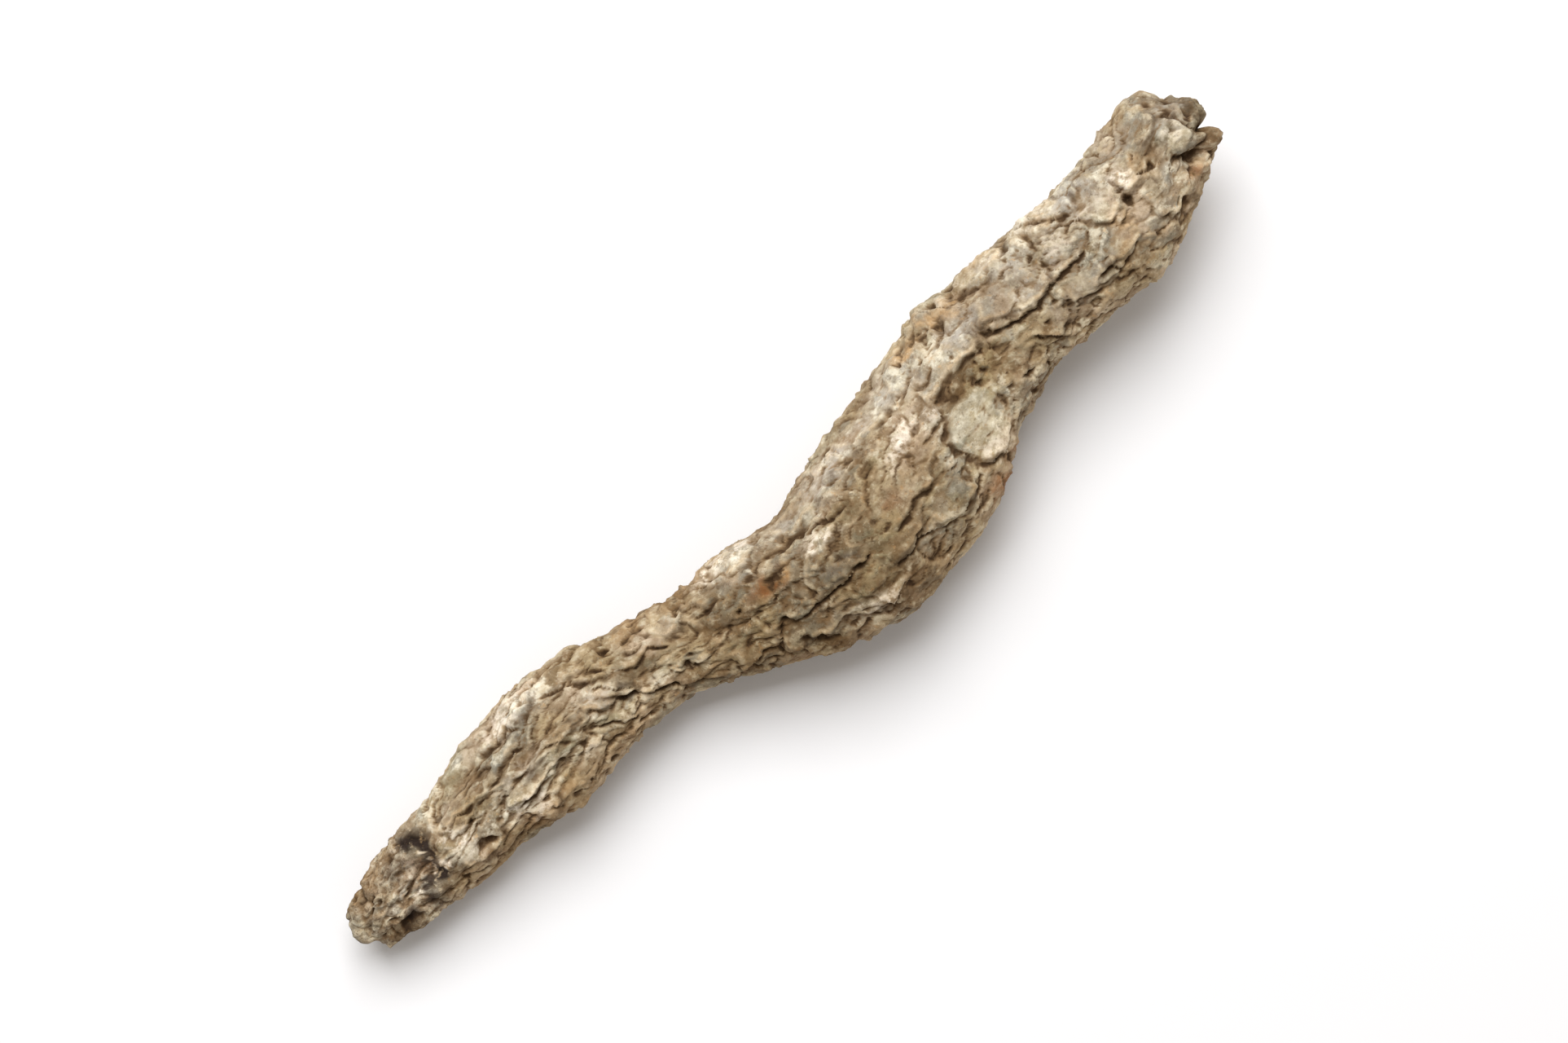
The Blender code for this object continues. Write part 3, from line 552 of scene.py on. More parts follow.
# Layers of crust: the size of their plates, their share of the full step, how closely they lie, and a
# seed. Along each step, from 0 to 1, a lip and a groove have their places.
LAYERS = (
    ((2.8, 1.8, 1.8), 1.0, 2.3, 121),
    ((1.5, 1.1, 1.1), 0.55, 2.0, 131),
    ((0.8, 0.65, 0.65), 0.22, 1.6, 141),
)
LAYER_WARP = 0.35
LAYER_SHIFT = 0.37
LAYER_STEP = 0.13
LAYER_LIP = 0.05
LAYER_GROOVE = 0.10
LIP_AT = 0.2
GROOVE_AT = 0.97
# The tone of the crust, in grains and in plates, and then its crumbs: height, size and seed.
TONE_GRAIN = ((1.6, 1.2, 1.2), 109)
PLATE_WAVES = ((1.6, 1.2, 1.2), 0.5, 111)
PLATE_SIZE = (1.8, 1.3, 1.3)
PLATE_HASH = Vector((12.9898, 78.233, 37.719))
CRUMB_WAVES = (0.8, 0.15, 151)
CRUMBS = (0.04, (0.5, 0.4, 0.4), 155)
FINE_CRUMBS = (0.024, (0.3, 0.26, 0.26), 157)
# Rootlet scars: those that are seen by plan x and y, radius and depth, and how many more there are.
RINGED_SCARS = (
    (-32.2, 0.2, 0.30, 0.3), (-17.8, 2.4, 0.40, 0.1), (11.3, 2.0, 0.25, 0.6),
    (14.6, 1.9, 0.28, 0.6), (31.3, 0.2, 0.45, 0.3),
)
SCARS = 90
SCAR_SEED = 12
RING_HEIGHT = 0.08


def plates(points, size):
    """A tone from 0 to 1 for each point, the same all over one plate of crust."""
    scaled = (points / np.array(size)).tolist()
    return np.array([noise.voronoi(point)[1][0].dot(PLATE_HASH) % 1.0 for point in scaled])


on_plate = 1 - 0.85 * within_scar
wrinkles = furrowed(grain(warped(grained, *WRINKLE_WAVES), *WRINKLES), *WRINKLE_RELIEF)
height += on_plate * (1 - 0.6 * towards_crown) * (1 - 0.4 * on_scale) * wrinkles
tone = 0.5 + 0.5 * grain(ragged, *TONE_GRAIN)
layered = on_plate * (1 - 0.5 * at_tip) * (1 - 0.75 * on_scale) * (1 - 0.2 * towards_crown)
for size, share, closeness, seed in LAYERS:
    values = closeness * grain(warped(grained, size, LAYER_WARP, seed), size, seed + 5) + LAYER_SHIFT
    level = np.floor(values)
    rest = values - level
    weight = share * layered
    height += weight * LAYER_STEP * (level + ease(rest, 0, 0.15))
    height += weight * LAYER_LIP * bell(rest, LIP_AT, 0.08)
    height -= weight * LAYER_GROOVE * bell(rest, GROOVE_AT, 0.05)
    lips = np.maximum(lips, weight * 0.8 * bell(rest, LIP_AT, 0.09))
    # The groove of each step gets painted shadow.
    undercut_shadow = np.maximum(undercut_shadow, weight * 0.8 * bell(rest, GROOVE_AT, 0.07))
    tone += 0.3 * share * np.sin(level * 5.1 + seed)
plate_tone = plates(warped(grained, *PLATE_WAVES), PLATE_SIZE)
tone = np.clip(0.6 * tone + 0.5 * plate_tone, 0, 1)
height += raised(warped(smooth_skin, *CRUMB_WAVES), *CRUMBS) + raised(smooth_skin, *FINE_CRUMBS)
draw = random.Random(SCAR_SEED)
scars = [(on_upper_side(x, y), radius, depth) for x, y, radius, depth in RINGED_SCARS]
for _ in range(SCARS):
    centre = on_skin(draw.uniform(TIP_X + 1, CROWN_X - 0.3), draw.uniform(0, 2 * math.pi))
    scars.append((centre, draw.uniform(0.14, 0.30), draw.uniform(0.15, 0.5)))
for centre, radius, depth in scars:
    gap = np.linalg.norm(rough_edged - centre, axis=1)
    height += on_plate * RING_HEIGHT * bell(gap, radius * 1.6, 0.5 * radius)
    height -= on_plate * depth * np.exp(-((gap / radius) ** 3))

# The relief has made the root uneven, so its rings are stretched back to the outline that was seen,
# but for the two ends: they are left as the relief made them, and trued in full from further in.
OUTLINE_SMOOTH = 0.5
TRUED_OVER = 0.7
LEFT_ALONE = 0.4
FULLY_TRUED = 1.6
# The middle of the root's box, measured from the chord: the frame's origin is under it.
MIDDLE_X = -0.07
MIDDLE_Y = -2.59


def trued(points, rings, sides):
    """The points with each ring stretched to the outline's width and height, away from the ends."""
    rows = points[: rings * sides].reshape(rings, sides, 3).copy()
    x = ring_places(rings)
    mid_y, mid_z, half_width, half_height = slice_at(x, OUTLINE_SMOOTH)
    hold = ease(x - TIP_X, LEFT_ALONE, FULLY_TRUED) * ease(CROWN_X - x, LEFT_ALONE, FULLY_TRUED)
    reach = max(1, round(rings * TRUED_OVER / (CROWN_X - TIP_X)))
    near = np.arange(rings)[:, None] + np.arange(-reach, reach + 1)
    near = np.clip(near, 0, rings - 1)
    for axis, middle, half in ((1, mid_y, half_width), (2, mid_z, half_height)):
        low = rows[:, :, axis].min(axis=1)[near].mean(axis=1)
        high = rows[:, :, axis].max(axis=1)[near].mean(axis=1)
        stretch = 2 * half / (high - low)
        aimed = middle[:, None] + (rows[:, :, axis] - ((low + high) / 2)[:, None]) * stretch[:, None]
        rows[:, :, axis] += hold[:, None] * (aimed - rows[:, :, axis])
    return np.concatenate([rows.reshape(-1, 3), points[rings * sides:]])


def placed(name, data):
    """A new object in the scene, made of the data."""
    made = bpy.data.objects.new(name, data)
    bpy.context.scene.collection.objects.link(made)
    return made


skin = trued(smooth_skin + outward * height[:, None], RINGS, RING_SIDES)
skin -= (MIDDLE_X, MIDDLE_Y, 0)
skin[:, 2] = np.maximum(skin[:, 2], 0)
root_mesh.vertices.foreach_set("co", (skin * MM).ravel())
root_mesh.update()
root_mesh.shade_smooth()
root = placed("root_skin", root_mesh)
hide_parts("curculigo_root")
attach(root, "root")

# Where the skin stands out and where it is sunk: its crests get painted highlight, and the bottoms of
# its furrows get painted shade. Each is read from the relief and kept on the mesh, with the stains.
NEAR_REACH = 0.35
WIDE_REACH = 1.1
POINT_SPACING = 0.13
DUST_WAVES = ((3, 2, 2), 0.8, 161)
DUST_GRAIN = ((4.0, 2.2, 2.2), 165)


def sunk_below(rows, radius):
    """How far each point of the skin lies below its surroundings, over about radius millimetres."""
    reach = round(2 * radius / POINT_SPACING)
    steps = range(-reach, reach + 1)
    weights = np.array([math.exp(-((step * POINT_SPACING / radius) ** 2)) for step in steps])
    weights /= weights.sum()
    ring = np.arange(len(rows))
    averaged = np.zeros(rows.shape)
    for step, weight in zip(steps, weights):
        averaged += weight * rows[np.clip(ring + step, 0, len(rows) - 1)]
    averaged = sum(weight * np.roll(averaged, step, axis=1) for step, weight in zip(steps, weights))
    return np.append((averaged - rows).ravel(), [0, 0])


ring_heights = height[: RINGS * RING_SIDES].reshape(RINGS, RING_SIDES)
near_hollow = sunk_below(ring_heights, NEAR_REACH)
wide_hollow = sunk_below(ring_heights, WIDE_REACH)
# Painted shade for the hollows, and painted highlight for the crests.
hollow_shade = np.clip(near_hollow / 0.14, 0, 1) * 0.6 + np.clip(wide_hollow / 0.40, 0, 1) * 0.7
crest_highlight = np.clip(-near_hollow / 0.10, 0, 1) * 0.6 + np.clip(-wide_hollow / 0.30, 0, 1) * 0.5
# The flank that faces -Y, away from the lamp, gets painted shade: darker hollows and a warm, darker
# tint. Its crests get more painted highlight.
shaded_flank = ease(-outward[:, 1], 0.3, 0.8)
hollow_shade *= 1 + 0.4 * shaded_flank
crest_highlight *= 1 + 0.7 * shaded_flank
dust = ease(grain(warped(grained, *DUST_WAVES), *DUST_GRAIN), -0.1, 0.3)

# Stains and tones of the upper side: plan x and y, radius along and across, and how strong. A tone or a
# warmth below nothing makes the skin darker or greyer there.
BLACK_STAINS = (
    (-32.0, 0.7, 0.6, 0.3, 0.5), (-31.2, -2.5, 0.9, 0.5, 1.0), (-29.8, 0.6, 1.0, 0.8, 0.4),
    (-29.2, -2.3, 0.8, 0.8, 1.0), (-29.0, -1.4, 1.2, 0.4, 1.0), (-28.6, 0.0, 0.6, 0.6, 0.5),
    (-27.9, 1.1, 0.9, 0.8, 1.2), (-27.9, -0.5, 0.7, 0.8, 1.0), (-27.9, -1.3, 0.9, 0.6, 1.2),
    (-27.6, 0.5, 0.6, 1.0, 1.3), (-12.0, -0.8, 1.5, 0.4, 0.4), (-8.6, 0.0, 0.8, 0.5, 0.3),
    (0.9, -4.2, 1.3, 0.5, 0.5), (20.2, -2.6, 1.2, 0.4, 0.35), (30.9, -1.9, 0.45, 0.3, 0.4),
    (32.6, 1.5, 0.8, 1.4, 0.5),
)
RUST_STAINS = (
    (-28.2, -0.5, 0.9, 0.8, 0.6), (-2.8, -2.4, 1.1, 0.55, 1.2), (5.5, -3.3, 0.9, 0.5, 0.4),
    (10.9, -7.2, 1.0, 0.6, 1.0), (12.5, -6.2, 0.9, 0.4, 0.7), (30.8, -2.0, 0.6, 0.4, 0.65),
)
OCHRE_STAINS = (
    (-31.5, 1.0, 1.2, 0.6, 0.5), (-20.5, -2.9, 2.0, 0.5, 0.5), (-15.0, -0.3, 1.8, 0.4, 0.4),
    (-10.5, 1.4, 2.0, 0.5, 0.5), (-6.0, 1.0, 3.0, 0.4, 0.5), (-1.7, -2.4, 0.7, 0.4, 1.3),
    (12.0, 2.2, 1.2, 0.6, 1.0), (14.3, 2.3, 1.1, 0.5, 1.0), (15.6, 2.3, 0.6, 0.7, 0.8),
    (25.7, -2.4, 1.2, 0.3, 0.6), (26.0, -1.2, 0.6, 1.0, 0.8), (28.9, 1.2, 0.3, 1.0, 0.5),
)
# Among the broad tones, the dark rows round x -12 and x 14 are painted shade of a wide crease and of the
# hollow under a lip, and the dark rows at the crown's end, x 32 to 33, are in part a painted shadow cast
# over it.
BROAD_TONES = (
    (-33.3, -0.6, 1.0, 0.9, 0.2), (-32.6, 1.0, 1.5, 0.7, -0.5), (-31.8, -2.6, 2.6, 0.7, -0.9),
    (-31.0, -0.8, 2.4, 2.2, 0.1), (-30.2, -1.4, 1.4, 0.6, 0.9), (-30.0, -2.9, 1.0, 0.5, 0.6),
    (-29.6, 0.3, 1.0, 0.7, -0.4), (-27.8, 0.6, 1.2, 1.2, -0.5), (-26.6, -0.5, 0.7, 0.7, 0.7),
    (-26.5, 1.6, 0.8, 0.6, 0.7), (-26.4, -0.6, 0.7, 0.6, 0.9), (-26.0, -0.5, 1.0, 0.7, 0.9),
    (-24.0, -2.7, 2.0, 0.6, -0.4), (-24.0, 1.9, 1.3, 0.8, -0.2), (-24.0, 0.2, 1.3, 0.8, -0.7),
    (-24.0, -3.2, 1.4, 0.5, -0.6), (-23.8, -1.2, 3.4, 1.5, 0.7), (-22.5, 2.6, 1.0, 0.6, 0.6),
    (-21.0, -1.8, 2.2, 0.8, 1.2), (-21.0, 1.2, 1.4, 0.6, 0.7), (-21.0, -0.2, 1.4, 0.6, 0.7),
    (-18.5, 2.4, 4.0, 1.3, 0.6), (-15.0, 2.5, 2.2, 0.6, -0.4), (-14.8, 2.6, 1.6, 0.6, -1.0),
    (-13.5, -0.2, 2.0, 1.0, 0.3), (-12.5, -0.6, 1.8, 0.6, -1.0), (-12.2, -0.9, 1.4, 0.5, -0.6),
    (-12.0, 0.9, 2.5, 1.0, -0.3), (-11.8, -0.8, 1.9, 0.5, -1.1), (-11.0, -2.0, 2.6, 0.6, 0.8),
    (-9.0, -2.6, 1.6, 0.8, 0.5), (-9.0, 0.9, 2.2, 0.9, -0.6), (-8.0, -3.0, 3.0, 2.0, -0.4),
    (-6.5, -3.2, 1.4, 0.6, -0.4), (-4.0, -4.6, 4.0, 2.4, -0.8), (-3.5, 0.3, 2.5, 0.8, 0.7),
    (-3.0, -0.9, 1.4, 0.6, 0.4), (0.0, -3.4, 1.2, 0.6, -0.5), (0.0, -5.8, 1.6, 0.7, -1.0),
    (0.0, -7.7, 1.6, 0.6, 0.6), (0.0, -0.2, 1.4, 0.5, 0.4), (0.2, -4.2, 1.5, 0.8, -0.4),
    (0.4, -4.2, 1.2, 0.6, -0.6), (2.5, -0.8, 3.5, 1.2, 0.4), (3.0, -2.0, 1.4, 0.6, -0.6),
    (4.0, -4.6, 4.5, 1.3, -0.6), (4.0, -7.6, 4.5, 1.5, -0.4), (5.6, -1.1, 0.9, 0.9, -0.7),
    (6.0, -4.2, 1.4, 0.6, -0.5), (6.0, 0.8, 2.2, 0.6, 0.8), (6.0, -5.6, 1.6, 0.7, -0.8),
    (6.0, -3.0, 1.4, 0.7, -0.6), (8.5, -1.4, 2.5, 0.9, 0.6), (12.0, 1.2, 4.0, 1.6, 0.4),
    (12.3, -3.9, 2.4, 2.2, 1.0), (13.8, -1.6, 2.8, 0.8, -1.1), (14.6, -3.4, 1.0, 0.5, 0.6),
    (15.0, 0.9, 1.4, 0.7, 0.6), (15.0, -4.4, 1.2, 0.5, 0.8), (16.5, -3.1, 2.0, 0.7, -0.6),
    (17.6, -2.6, 2.2, 1.2, -0.5), (17.6, 0.4, 2.0, 1.2, -0.2), (17.6, -3.4, 1.2, 0.5, -0.6),
    (18.0, -2.3, 1.6, 1.0, -1.0), (20.0, 0.4, 1.4, 1.0, -0.2), (21.0, 2.4, 1.0, 0.6, 0.5),
    (21.0, 0.9, 1.2, 0.6, -0.8), (21.0, -3.8, 1.4, 0.5, 0.7), (21.5, -3.0, 3.5, 1.0, -0.3),
    (22.6, 2.8, 1.6, 1.0, 0.7), (24.0, -1.2, 1.6, 0.6, -0.2), (24.0, -2.3, 1.4, 0.6, -0.8),
    (25.0, 0.6, 1.6, 1.2, 0.3), (27.0, 2.6, 1.4, 0.7, -0.9), (27.0, -0.7, 1.4, 0.5, 1.0),
    (27.6, -3.0, 3.0, 1.6, 0.2), (28.0, 1.4, 3.0, 1.6, 0.3), (28.8, -1.9, 2.2, 0.7, 0.6),
    (29.8, -1.4, 1.0, 0.6, 0.8), (30.0, 0.4, 0.8, 0.5, -0.4), (30.0, 1.2, 1.2, 0.7, 0.4),
    (30.0, -1.0, 0.8, 0.5, 1.1), (31.4, -0.9, 1.2, 0.5, -0.5), (32.2, 1.9, 1.2, 1.6, -0.5),
    (33.3, 0.6, 1.1, 2.0, -1.3),
)
WARM_TONES = (
    (-31.0, 0.0, 2.5, 2.0, 0.9), (-24.0, -1.5, 3.0, 1.2, -0.8), (-22.0, 0.5, 2.0, 0.8, -0.4),
    (-19.0, 2.6, 3.0, 0.8, 0.9), (-15.5, -1.2, 4.0, 1.2, -0.7), (-14.0, 1.5, 3.0, 1.0, 0.6),
    (-9.0, 0.4, 2.2, 1.2, 1.0), (-5.0, 0.6, 2.5, 0.5, 0.8), (-4.0, -5.0, 4.0, 2.0, -0.6),
    (2.5, -0.6, 3.0, 0.8, 0.8), (4.0, -6.0, 6.0, 2.5, -0.7), (7.0, -0.4, 3.0, 0.5, 0.9),
    (8.5, -2.0, 2.5, 0.8, 0.5), (12.3, -3.8, 2.2, 2.2, -1.0), (15.0, -1.8, 3.0, 1.0, -0.5),
    (17.5, 0.0, 2.5, 1.2, 0.8), (20.0, 2.0, 3.0, 0.8, -0.4), (21.0, -0.2, 1.5, 0.8, 0.5),
    (25.0, -3.5, 3.0, 1.2, -0.7), (26.5, -1.5, 1.5, 2.0, 0.8), (29.0, 1.5, 2.0, 1.5, 0.4),
    (31.8, 1.8, 2.0, 1.6, -1.0),
)
GREY_PATCHES = (
    (-29.5, 0.4, 1.2, 0.8, 0.8), (-24.0, 1.2, 2.5, 0.8, 0.35), (-20.3, -0.3, 2.2, 0.6, 0.8),
    (-14.5, -0.5, 2.0, 0.8, 0.9), (0.3, 0.0, 2.0, 0.6, 0.9), (1.0, -4.2, 1.4, 0.5, 1.0),
    (4.0, 0.5, 3.0, 0.8, 0.9), (9.5, 1.2, 3.0, 0.9, 0.8), (15.0, 0.8, 2.5, 0.8, 0.9),
    (18.5, 1.5, 3.5, 1.2, 1.0), (20.5, 0.0, 2.0, 0.7, 0.9), (22.0, -2.2, 3.0, 0.8, 0.6),
    (24.5, 1.6, 3.0, 1.2, 1.0), (28.0, 2.6, 2.5, 0.9, 0.7), (32.2, 1.8, 1.3, 1.5, 1.0),
)
# Pale patches. The smallest ones round x -28, in the black stain, are painted glints.
PALE_PATCHES_AND_GLINTS = (
    (-29.8, -1.7, 0.5, 0.3, 0.8), (-29.1, 1.6, 0.4, 0.3, 0.8), (-28.3, -0.9, 0.25, 0.2, 1.2),
    (-28.0, -0.4, 0.22, 0.2, 1.2), (-27.75, 0.3, 0.22, 0.2, 0.9), (-27.3, -1.2, 0.30, 0.25, 1.2),
    (-26.3, -0.1, 0.6, 0.4, 0.8), (-25.8, -0.7, 0.8, 0.5, 0.7), (-25.6, -1.9, 0.8, 0.4, 0.6),
    (-22.2, -1.8, 0.8, 0.5, 0.9), (-21.0, -2.9, 0.8, 0.25, 0.8), (-20.8, -2.0, 0.7, 0.4, 0.9),
    (-19.2, 2.4, 1.8, 0.6, 0.7), (-17.0, -2.4, 0.8, 0.3, 0.5), (-4.0, 0.5, 2.6, 0.4, 0.7),
    (1.2, -2.4, 1.2, 0.5, 1.0), (1.5, -7.2, 1.2, 0.4, 0.9), (6.8, -2.3, 0.5, 0.3, 0.9),
    (7.4, -1.7, 0.5, 0.3, 1.0), (8.1, -1.2, 0.6, 0.3, 1.0), (9.0, -0.9, 0.6, 0.3, 0.9),
    (10.5, -1.5, 0.5, 0.5, 0.8), (12.2, -5.4, 1.2, 0.6, 0.7), (16.4, 2.7, 1.2, 0.6, 0.4),
    (22.2, 0.9, 0.8, 0.7, 0.6), (22.4, 3.0, 1.3, 0.6, 0.8), (24.3, 0.7, 0.9, 0.3, 0.7),
    (27.6, 0.8, 0.7, 0.6, 1.0), (31.2, 0.5, 0.8, 0.5, 0.5),
)
STAIN_EDGES = (0.8, 0.55)
STAIN_DEPTH = 2.0
BROAD_GRAIN = ((3.4, 2.6, 2.6), 175)
WARM_GRAIN = ((2.6, 2.0, 2.0), 185)


def stained(patches, seed):
    """How strongly each point is stained by the strongest patch there, with ragged edges."""
    amount = np.zeros(len(smooth_skin))
    strayed = warped(smooth_skin, *STAIN_EDGES, seed)
    for x, y, along, across, strength in patches:
        offset = (strayed - on_upper_side(x, y)) / (along, across, STAIN_DEPTH)
        patch = strength * np.exp(-((offset**2).sum(axis=1) ** 1.5))
        amount = np.where(np.abs(patch) > np.abs(amount), patch, amount)
    return amount


broad_tone = 0.5 + 0.5 * stained(BROAD_TONES, 171) + 0.45 * grain(straight, *BROAD_GRAIN)
broad_tone += 0.5 * scale_tone
broad_tone += 0.08 * ease(smooth_skin[:, 0], 5, 12) - 0.25 * bell(smooth_skin[:, 0], -2, 6)
# The flank away from the lamp is painted a little lighter towards the crown.
broad_tone += 0.08 * shaded_flank * towards_crown
warmth = 0.5 + 0.5 * stained(WARM_TONES, 181) + 0.5 * grain(straight, *WARM_GRAIN)
# The flank away from the lamp is painted warmer, as warm light bounced into its shade.
warmth += 0.35 * shaded_flank
for name, mask in (
    ("hollow_shade", hollow_shade),
    ("crest_highlight", crest_highlight),
    ("plate_tone", tone),
    ("broad_tone", broad_tone),
    ("warmth", warmth),
    ("shaded_flank", shaded_flank),
    ("scar", within_scar),
    ("crumbly", at_tip),
    ("lip", lips),
    ("shadow_under_lips", undercut_shadow),
    ("dust", dust),
    ("black_stain", stained(BLACK_STAINS, 151)),
    ("rust_stain", stained(RUST_STAINS, 155)),
    ("ochre_stain", stained(OCHRE_STAINS, 157)),
    ("pale_patch_and_glint", stained(PALE_PATCHES_AND_GLINTS, 159)),
    ("grey_patch", stained(GREY_PATCHES, 163)),
):
    root_mesh.attributes.new(name, "FLOAT", "POINT").data.foreach_set("value", mask)

# The skin's finish: dry crust, matte and dusty, grey-beige, with painted highlight, yellow-tan, on its
# crests and painted shade, dark brown, in its furrows. It is laid on as layers of colour, each over the
# one before, then shaded and given grit.
finish = bpy.data.materials.new("dried_skin")
finish.use_nodes = True
nodes = finish.node_tree.nodes
links = finish.node_tree.links
shader = nodes["Principled BSDF"]
place = nodes.new("ShaderNodeTexCoord")


def speckle(size, detail, roughness=0.5):
    """Noise of the given size in millimetres, as a value round 0.5, with this much finer detail."""
    scaled = nodes.new("ShaderNodeVectorMath")
    scaled.operation = "MULTIPLY"
    scaled.inputs[1].default_value = [1 / (size * MM)] * 3
    links.new(place.outputs["Object"], scaled.inputs[0])
    texture = nodes.new("ShaderNodeTexNoise")
    texture.inputs["Scale"].default_value = 1
    texture.inputs["Detail"].default_value = detail
    texture.inputs["Roughness"].default_value = roughness
    links.new(scaled.outputs[0], texture.inputs["Vector"])
    return texture.outputs["Fac"]


def between(value, low, high, most=1.0):
    """0 where the value is under low, most where it is over high, or the other way if low is higher."""
    step = nodes.new("ShaderNodeMapRange")
    step.interpolation_type = "SMOOTHSTEP"
    step.inputs["From Min"].default_value = low
    step.inputs["From Max"].default_value = high
    step.inputs["To Max"].default_value = most
    links.new(value, step.inputs["Value"])
    return step.outputs["Result"]


def fed(socket, value):
    """Gives the socket a number, a colour or another node's output."""
    if isinstance(value, tuple):
        socket.default_value = (*value, 1)
    elif isinstance(value, (int, float)):
        socket.default_value = value
    else:
        links.new(value, socket)


def combined(operation, first, second):
    """The two values added, multiplied or the like."""
    node = nodes.new("ShaderNodeMath")
    node.operation = operation
    fed(node.inputs[0], first)
    fed(node.inputs[1], second)
    return node.outputs[0]


def both(first, second):
    """The two amounts multiplied: strong only where both are."""
    return combined("MULTIPLY", first, second)


def tinted(under, over, amount, mode="MIX"):
    """The colour under, changed towards over by amount."""
    node = nodes.new("ShaderNodeMix")
    node.data_type = "RGBA"
    node.blend_type = mode
    fed(node.inputs["Factor"], amount)
    fed(node.inputs["A"], under)
    fed(node.inputs["B"], over)
    return node.outputs["Result"]


def kept(name):
    """A mask kept on the mesh."""
    attribute = nodes.new("ShaderNodeAttribute")
    attribute.attribute_name = name
    return attribute.outputs["Fac"]


def broken_up(name, value, low, high, most=1.0):
    """A mask kept on the mesh, broken up by where the value goes from low to high."""
    return both(kept(name), between(value, low, high, most))


OLIVE_GREY = (0.315, 0.262, 0.160)
ROSE_BEIGE = (0.480, 0.360, 0.245)
TAN = (0.465, 0.345, 0.190)
DUST_GREY = (0.235, 0.210, 0.163)
LILAC_GREY = (0.405, 0.350, 0.280)
CREAM = (0.665, 0.580, 0.425)
SPECK_AND_SHADE_BROWN = (0.078, 0.042, 0.018)
SOFT_BROWN = (0.220, 0.132, 0.060)
STAIN_BLACK = (0.034, 0.021, 0.015)
RUST = (0.310, 0.128, 0.044)
OCHRE = (0.520, 0.320, 0.150)
LIP_TAN = (0.580, 0.425, 0.260)
SCAR_GREY = (0.500, 0.425, 0.295)
PALE = (0.720, 0.600, 0.460)
# Shades that the colour is multiplied by: painted shade on the flank away from the lamp, and over broad
# and over small patches.
SHADED_FLANK_TINT = (1.0, 0.95, 0.87)
BROAD_DARK = (0.715, 0.675, 0.59)
BROAD_LIGHT = (1.22, 1.285, 1.355)
SMALL_DARK = (0.73, 0.68, 0.60)
SMALL_LIGHT = (1.22, 1.25, 1.30)
SMALL_SHADING = 0.7
SKIN_ROUGHNESS = 0.88
SKIN_GLOSS = 0.2
GRIT_SIZE = 0.32
GRIT_DEPTH = 0.06

mottle = speckle(1.1, 5, 0.65)
flecks = speckle(0.36, 4, 0.7)
tip_crumbs = speckle(0.3, 3, 0.6)
light_tone = between(kept("broad_tone"), 0.2, 1.0, 0.8)
dark_tone = between(kept("broad_tone"), 0.9, 0.0, 0.8)
crest_highlight_spots = both(between(speckle(0.8, 4, 0.65), 0.48, 0.64), between(kept("crest_highlight"), 0.0, 0.4))
uneven = combined("ADD", 0.55, between(speckle(0.55, 4, 0.65), 0.36, 0.56, 0.55))
blackened = broken_up("black_stain", speckle(0.45, 3, 0.6), 0.30, 0.46, 0.92)
colour = tinted(OLIVE_GREY, ROSE_BEIGE, between(kept("warmth"), 0.1, 0.9))
for over, amount in (
    (TAN, between(speckle(2.2, 4, 0.6), 0.46, 0.62, 0.7)),
    (DUST_GREY, broken_up("dust", speckle(1.4, 4, 0.6), 0.36, 0.56, 0.8)),
    (SOFT_BROWN, between(kept("plate_tone"), 0.64, 0.72, 0.45)),
    (DUST_GREY, between(kept("plate_tone"), 0.36, 0.28, 0.6)),
    (LILAC_GREY, broken_up("grey_patch", speckle(1.2, 4, 0.6), 0.26, 0.50, 0.85)),
    (CREAM, both(between(mottle, 0.50, 0.62), light_tone)),
    (SOFT_BROWN, both(between(mottle, 0.52, 0.38), dark_tone)),
    (SCAR_GREY, broken_up("scar", speckle(0.9, 4, 0.6), 0.36, 0.60, 0.75)),
    (LIP_TAN, broken_up("lip", speckle(1.6, 3), 0.38, 0.6, 0.9)),
    # Painted highlight on the crests.
    (CREAM, both(crest_highlight_spots, 0.6)),
    (OCHRE, broken_up("ochre_stain", speckle(0.7, 4, 0.6), 0.34, 0.58, 0.9)),
    (RUST, broken_up("rust_stain", speckle(0.6, 4, 0.6), 0.22, 0.46, 0.9)),
    (PALE, broken_up("pale_patch_and_glint", speckle(0.5, 3, 0.6), 0.36, 0.56)),
    (CREAM, between(flecks, 0.58, 0.68, 0.45)),
    (SPECK_AND_SHADE_BROWN, between(flecks, 0.43, 0.33, 0.45)),
    (OCHRE, between(speckle(0.45, 4, 0.65), 0.60, 0.70, 0.5)),
    (SPECK_AND_SHADE_BROWN, broken_up("crumbly", tip_crumbs, 0.46, 0.38, 0.6)),
    (CREAM, broken_up("crumbly", tip_crumbs, 0.56, 0.64, 0.5)),
    # Painted shade in the hollows, then painted shadow under the lips and in the grooves.
    (SOFT_BROWN, both(uneven, between(kept("hollow_shade"), 0.05, 0.5, 0.75))),
    (SPECK_AND_SHADE_BROWN, both(uneven, between(kept("hollow_shade"), 0.35, 1.0, 0.9))),
    (SPECK_AND_SHADE_BROWN, broken_up("shadow_under_lips", speckle(0.9, 3), 0.38, 0.62, 0.85)),
    # The black stain is left off where the glints are painted.
    (STAIN_BLACK, both(blackened, between(kept("pale_patch_and_glint"), 0.8, 0.3))),
):
    colour = tinted(colour, over, amount)
broad_shade = tinted(BROAD_DARK, BROAD_LIGHT, between(kept("broad_tone"), 0.0, 1.0))
colour = tinted(colour, broad_shade, 1.0, "MULTIPLY")
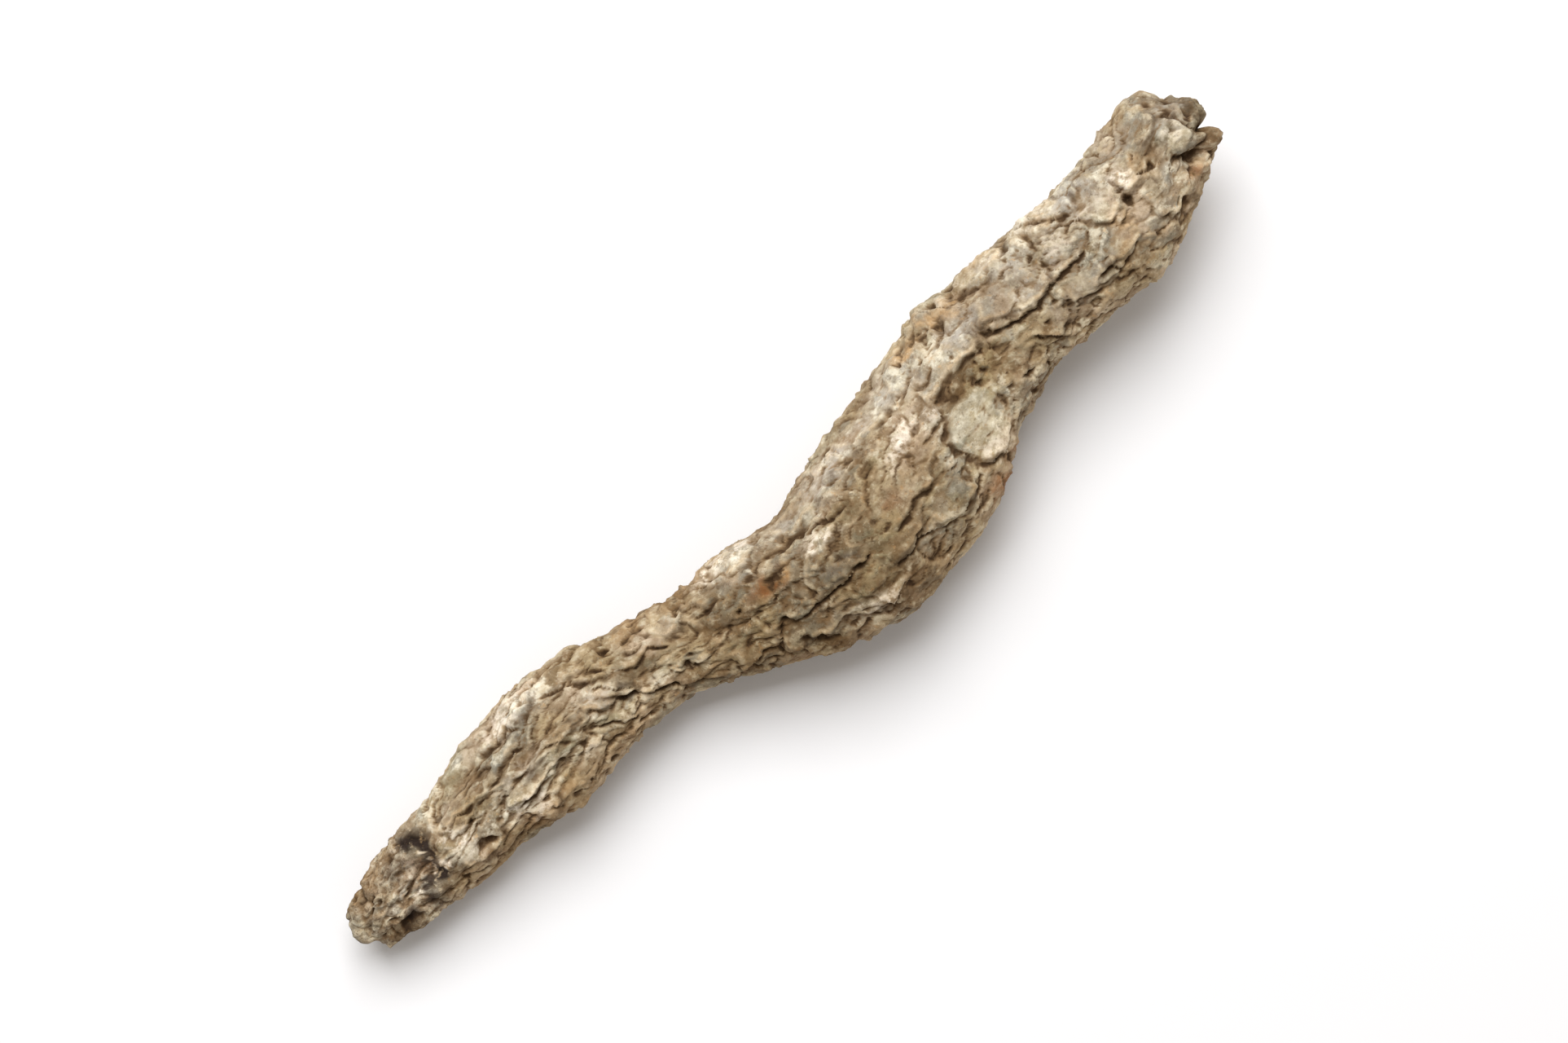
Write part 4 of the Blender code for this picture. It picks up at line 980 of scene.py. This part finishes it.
# Painted shade: a warm, darker tint on the flank away from the lamp.
colour = tinted(colour, SHADED_FLANK_TINT, kept("shaded_flank"), "MULTIPLY")
small_shade = tinted(SMALL_DARK, SMALL_LIGHT, between(speckle(0.5, 4, 0.7), 0.32, 0.68))
colour = tinted(colour, small_shade, SMALL_SHADING, "MULTIPLY")
links.new(colour, shader.inputs["Base Color"])
shader.inputs["Roughness"].default_value = SKIN_ROUGHNESS
shader.inputs["Specular IOR Level"].default_value = SKIN_GLOSS

grit = nodes.new("ShaderNodeBump")
grit.inputs["Strength"].default_value = 1.0
grit.inputs["Distance"].default_value = GRIT_DEPTH * MM
links.new(speckle(GRIT_SIZE, 4, 0.65), grit.inputs["Height"])
links.new(grit.outputs["Normal"], shader.inputs["Normal"])
root_mesh.materials.append(finish)

# The surface that the root lies loose on: one plain pale board, matte and flat, wide enough to fill
# every view.
FLOOR_SIZE = 1.6
FLOOR_COLOUR = (0.86, 0.85, 0.84, 1)
FLOOR_ROUGHNESS = 0.7
far = FLOOR_SIZE / 2
floor_mesh = bpy.data.meshes.new("floor")
floor_mesh.from_pydata([(-far, -far, 0), (far, -far, 0), (far, far, 0), (-far, far, 0)], [], [(0, 1, 2, 3)])
floor = placed("floor", floor_mesh)
board = bpy.data.materials.new("pale_board")
board.use_nodes = True
board_shader = board.node_tree.nodes["Principled BSDF"]
board_shader.inputs["Base Color"].default_value = FLOOR_COLOUR
board_shader.inputs["Roughness"].default_value = FLOOR_ROUGHNESS
floor_mesh.materials.append(board)

# The light: one large soft lamp behind the root and to its crown side, faintly cool, and an even fill
# from all round that is faintly warm, so that the shadows stay light.
LAMP_PLACE = Vector((0.14, 0.28, 0.52))
LAMP_SIZE = 0.42
LAMP_POWER = 4.2
LAMP_COLOUR = (0.98, 0.995, 1.03)
FILL = 0.39
FILL_COLOUR = (1.03, 0.99, 0.95, 1)
lamp = bpy.data.lights.new("soft_lamp", "AREA")
lamp.size = LAMP_SIZE
lamp.energy = LAMP_POWER
lamp.color = LAMP_COLOUR
lamp_stand = placed("soft_lamp", lamp)
lamp_stand.location = LAMP_PLACE
lamp_stand.rotation_euler = (-LAMP_PLACE).to_track_quat("-Z", "Y").to_euler()
sky = bpy.data.worlds.new("pale_fill")
sky.use_nodes = True
sky_light = sky.node_tree.nodes["Background"]
sky_light.inputs["Color"].default_value = FILL_COLOUR
sky_light.inputs["Strength"].default_value = FILL
bpy.context.scene.world = sky
bpy.context.scene.view_settings.view_transform = "Standard"

# The camera: straight above the root with a long lens, turned so that the root runs from the lower
# left of the picture to its upper right, and close enough for it to fill most of the height.
CAMERA_TURN = math.radians(-43.3)
CAMERA_PLACE = Vector((0.0004, 0.0024, 0.2564))
LENS = 100.0
SENSOR = 36.0
camera = bpy.data.cameras.new("camera")
camera.lens = LENS
camera.sensor_width = SENSOR
camera_stand = placed("camera", camera)
camera_stand.location = CAMERA_PLACE
camera_stand.rotation_euler = (0, 0, CAMERA_TURN)
bpy.context.scene.camera = camera_stand
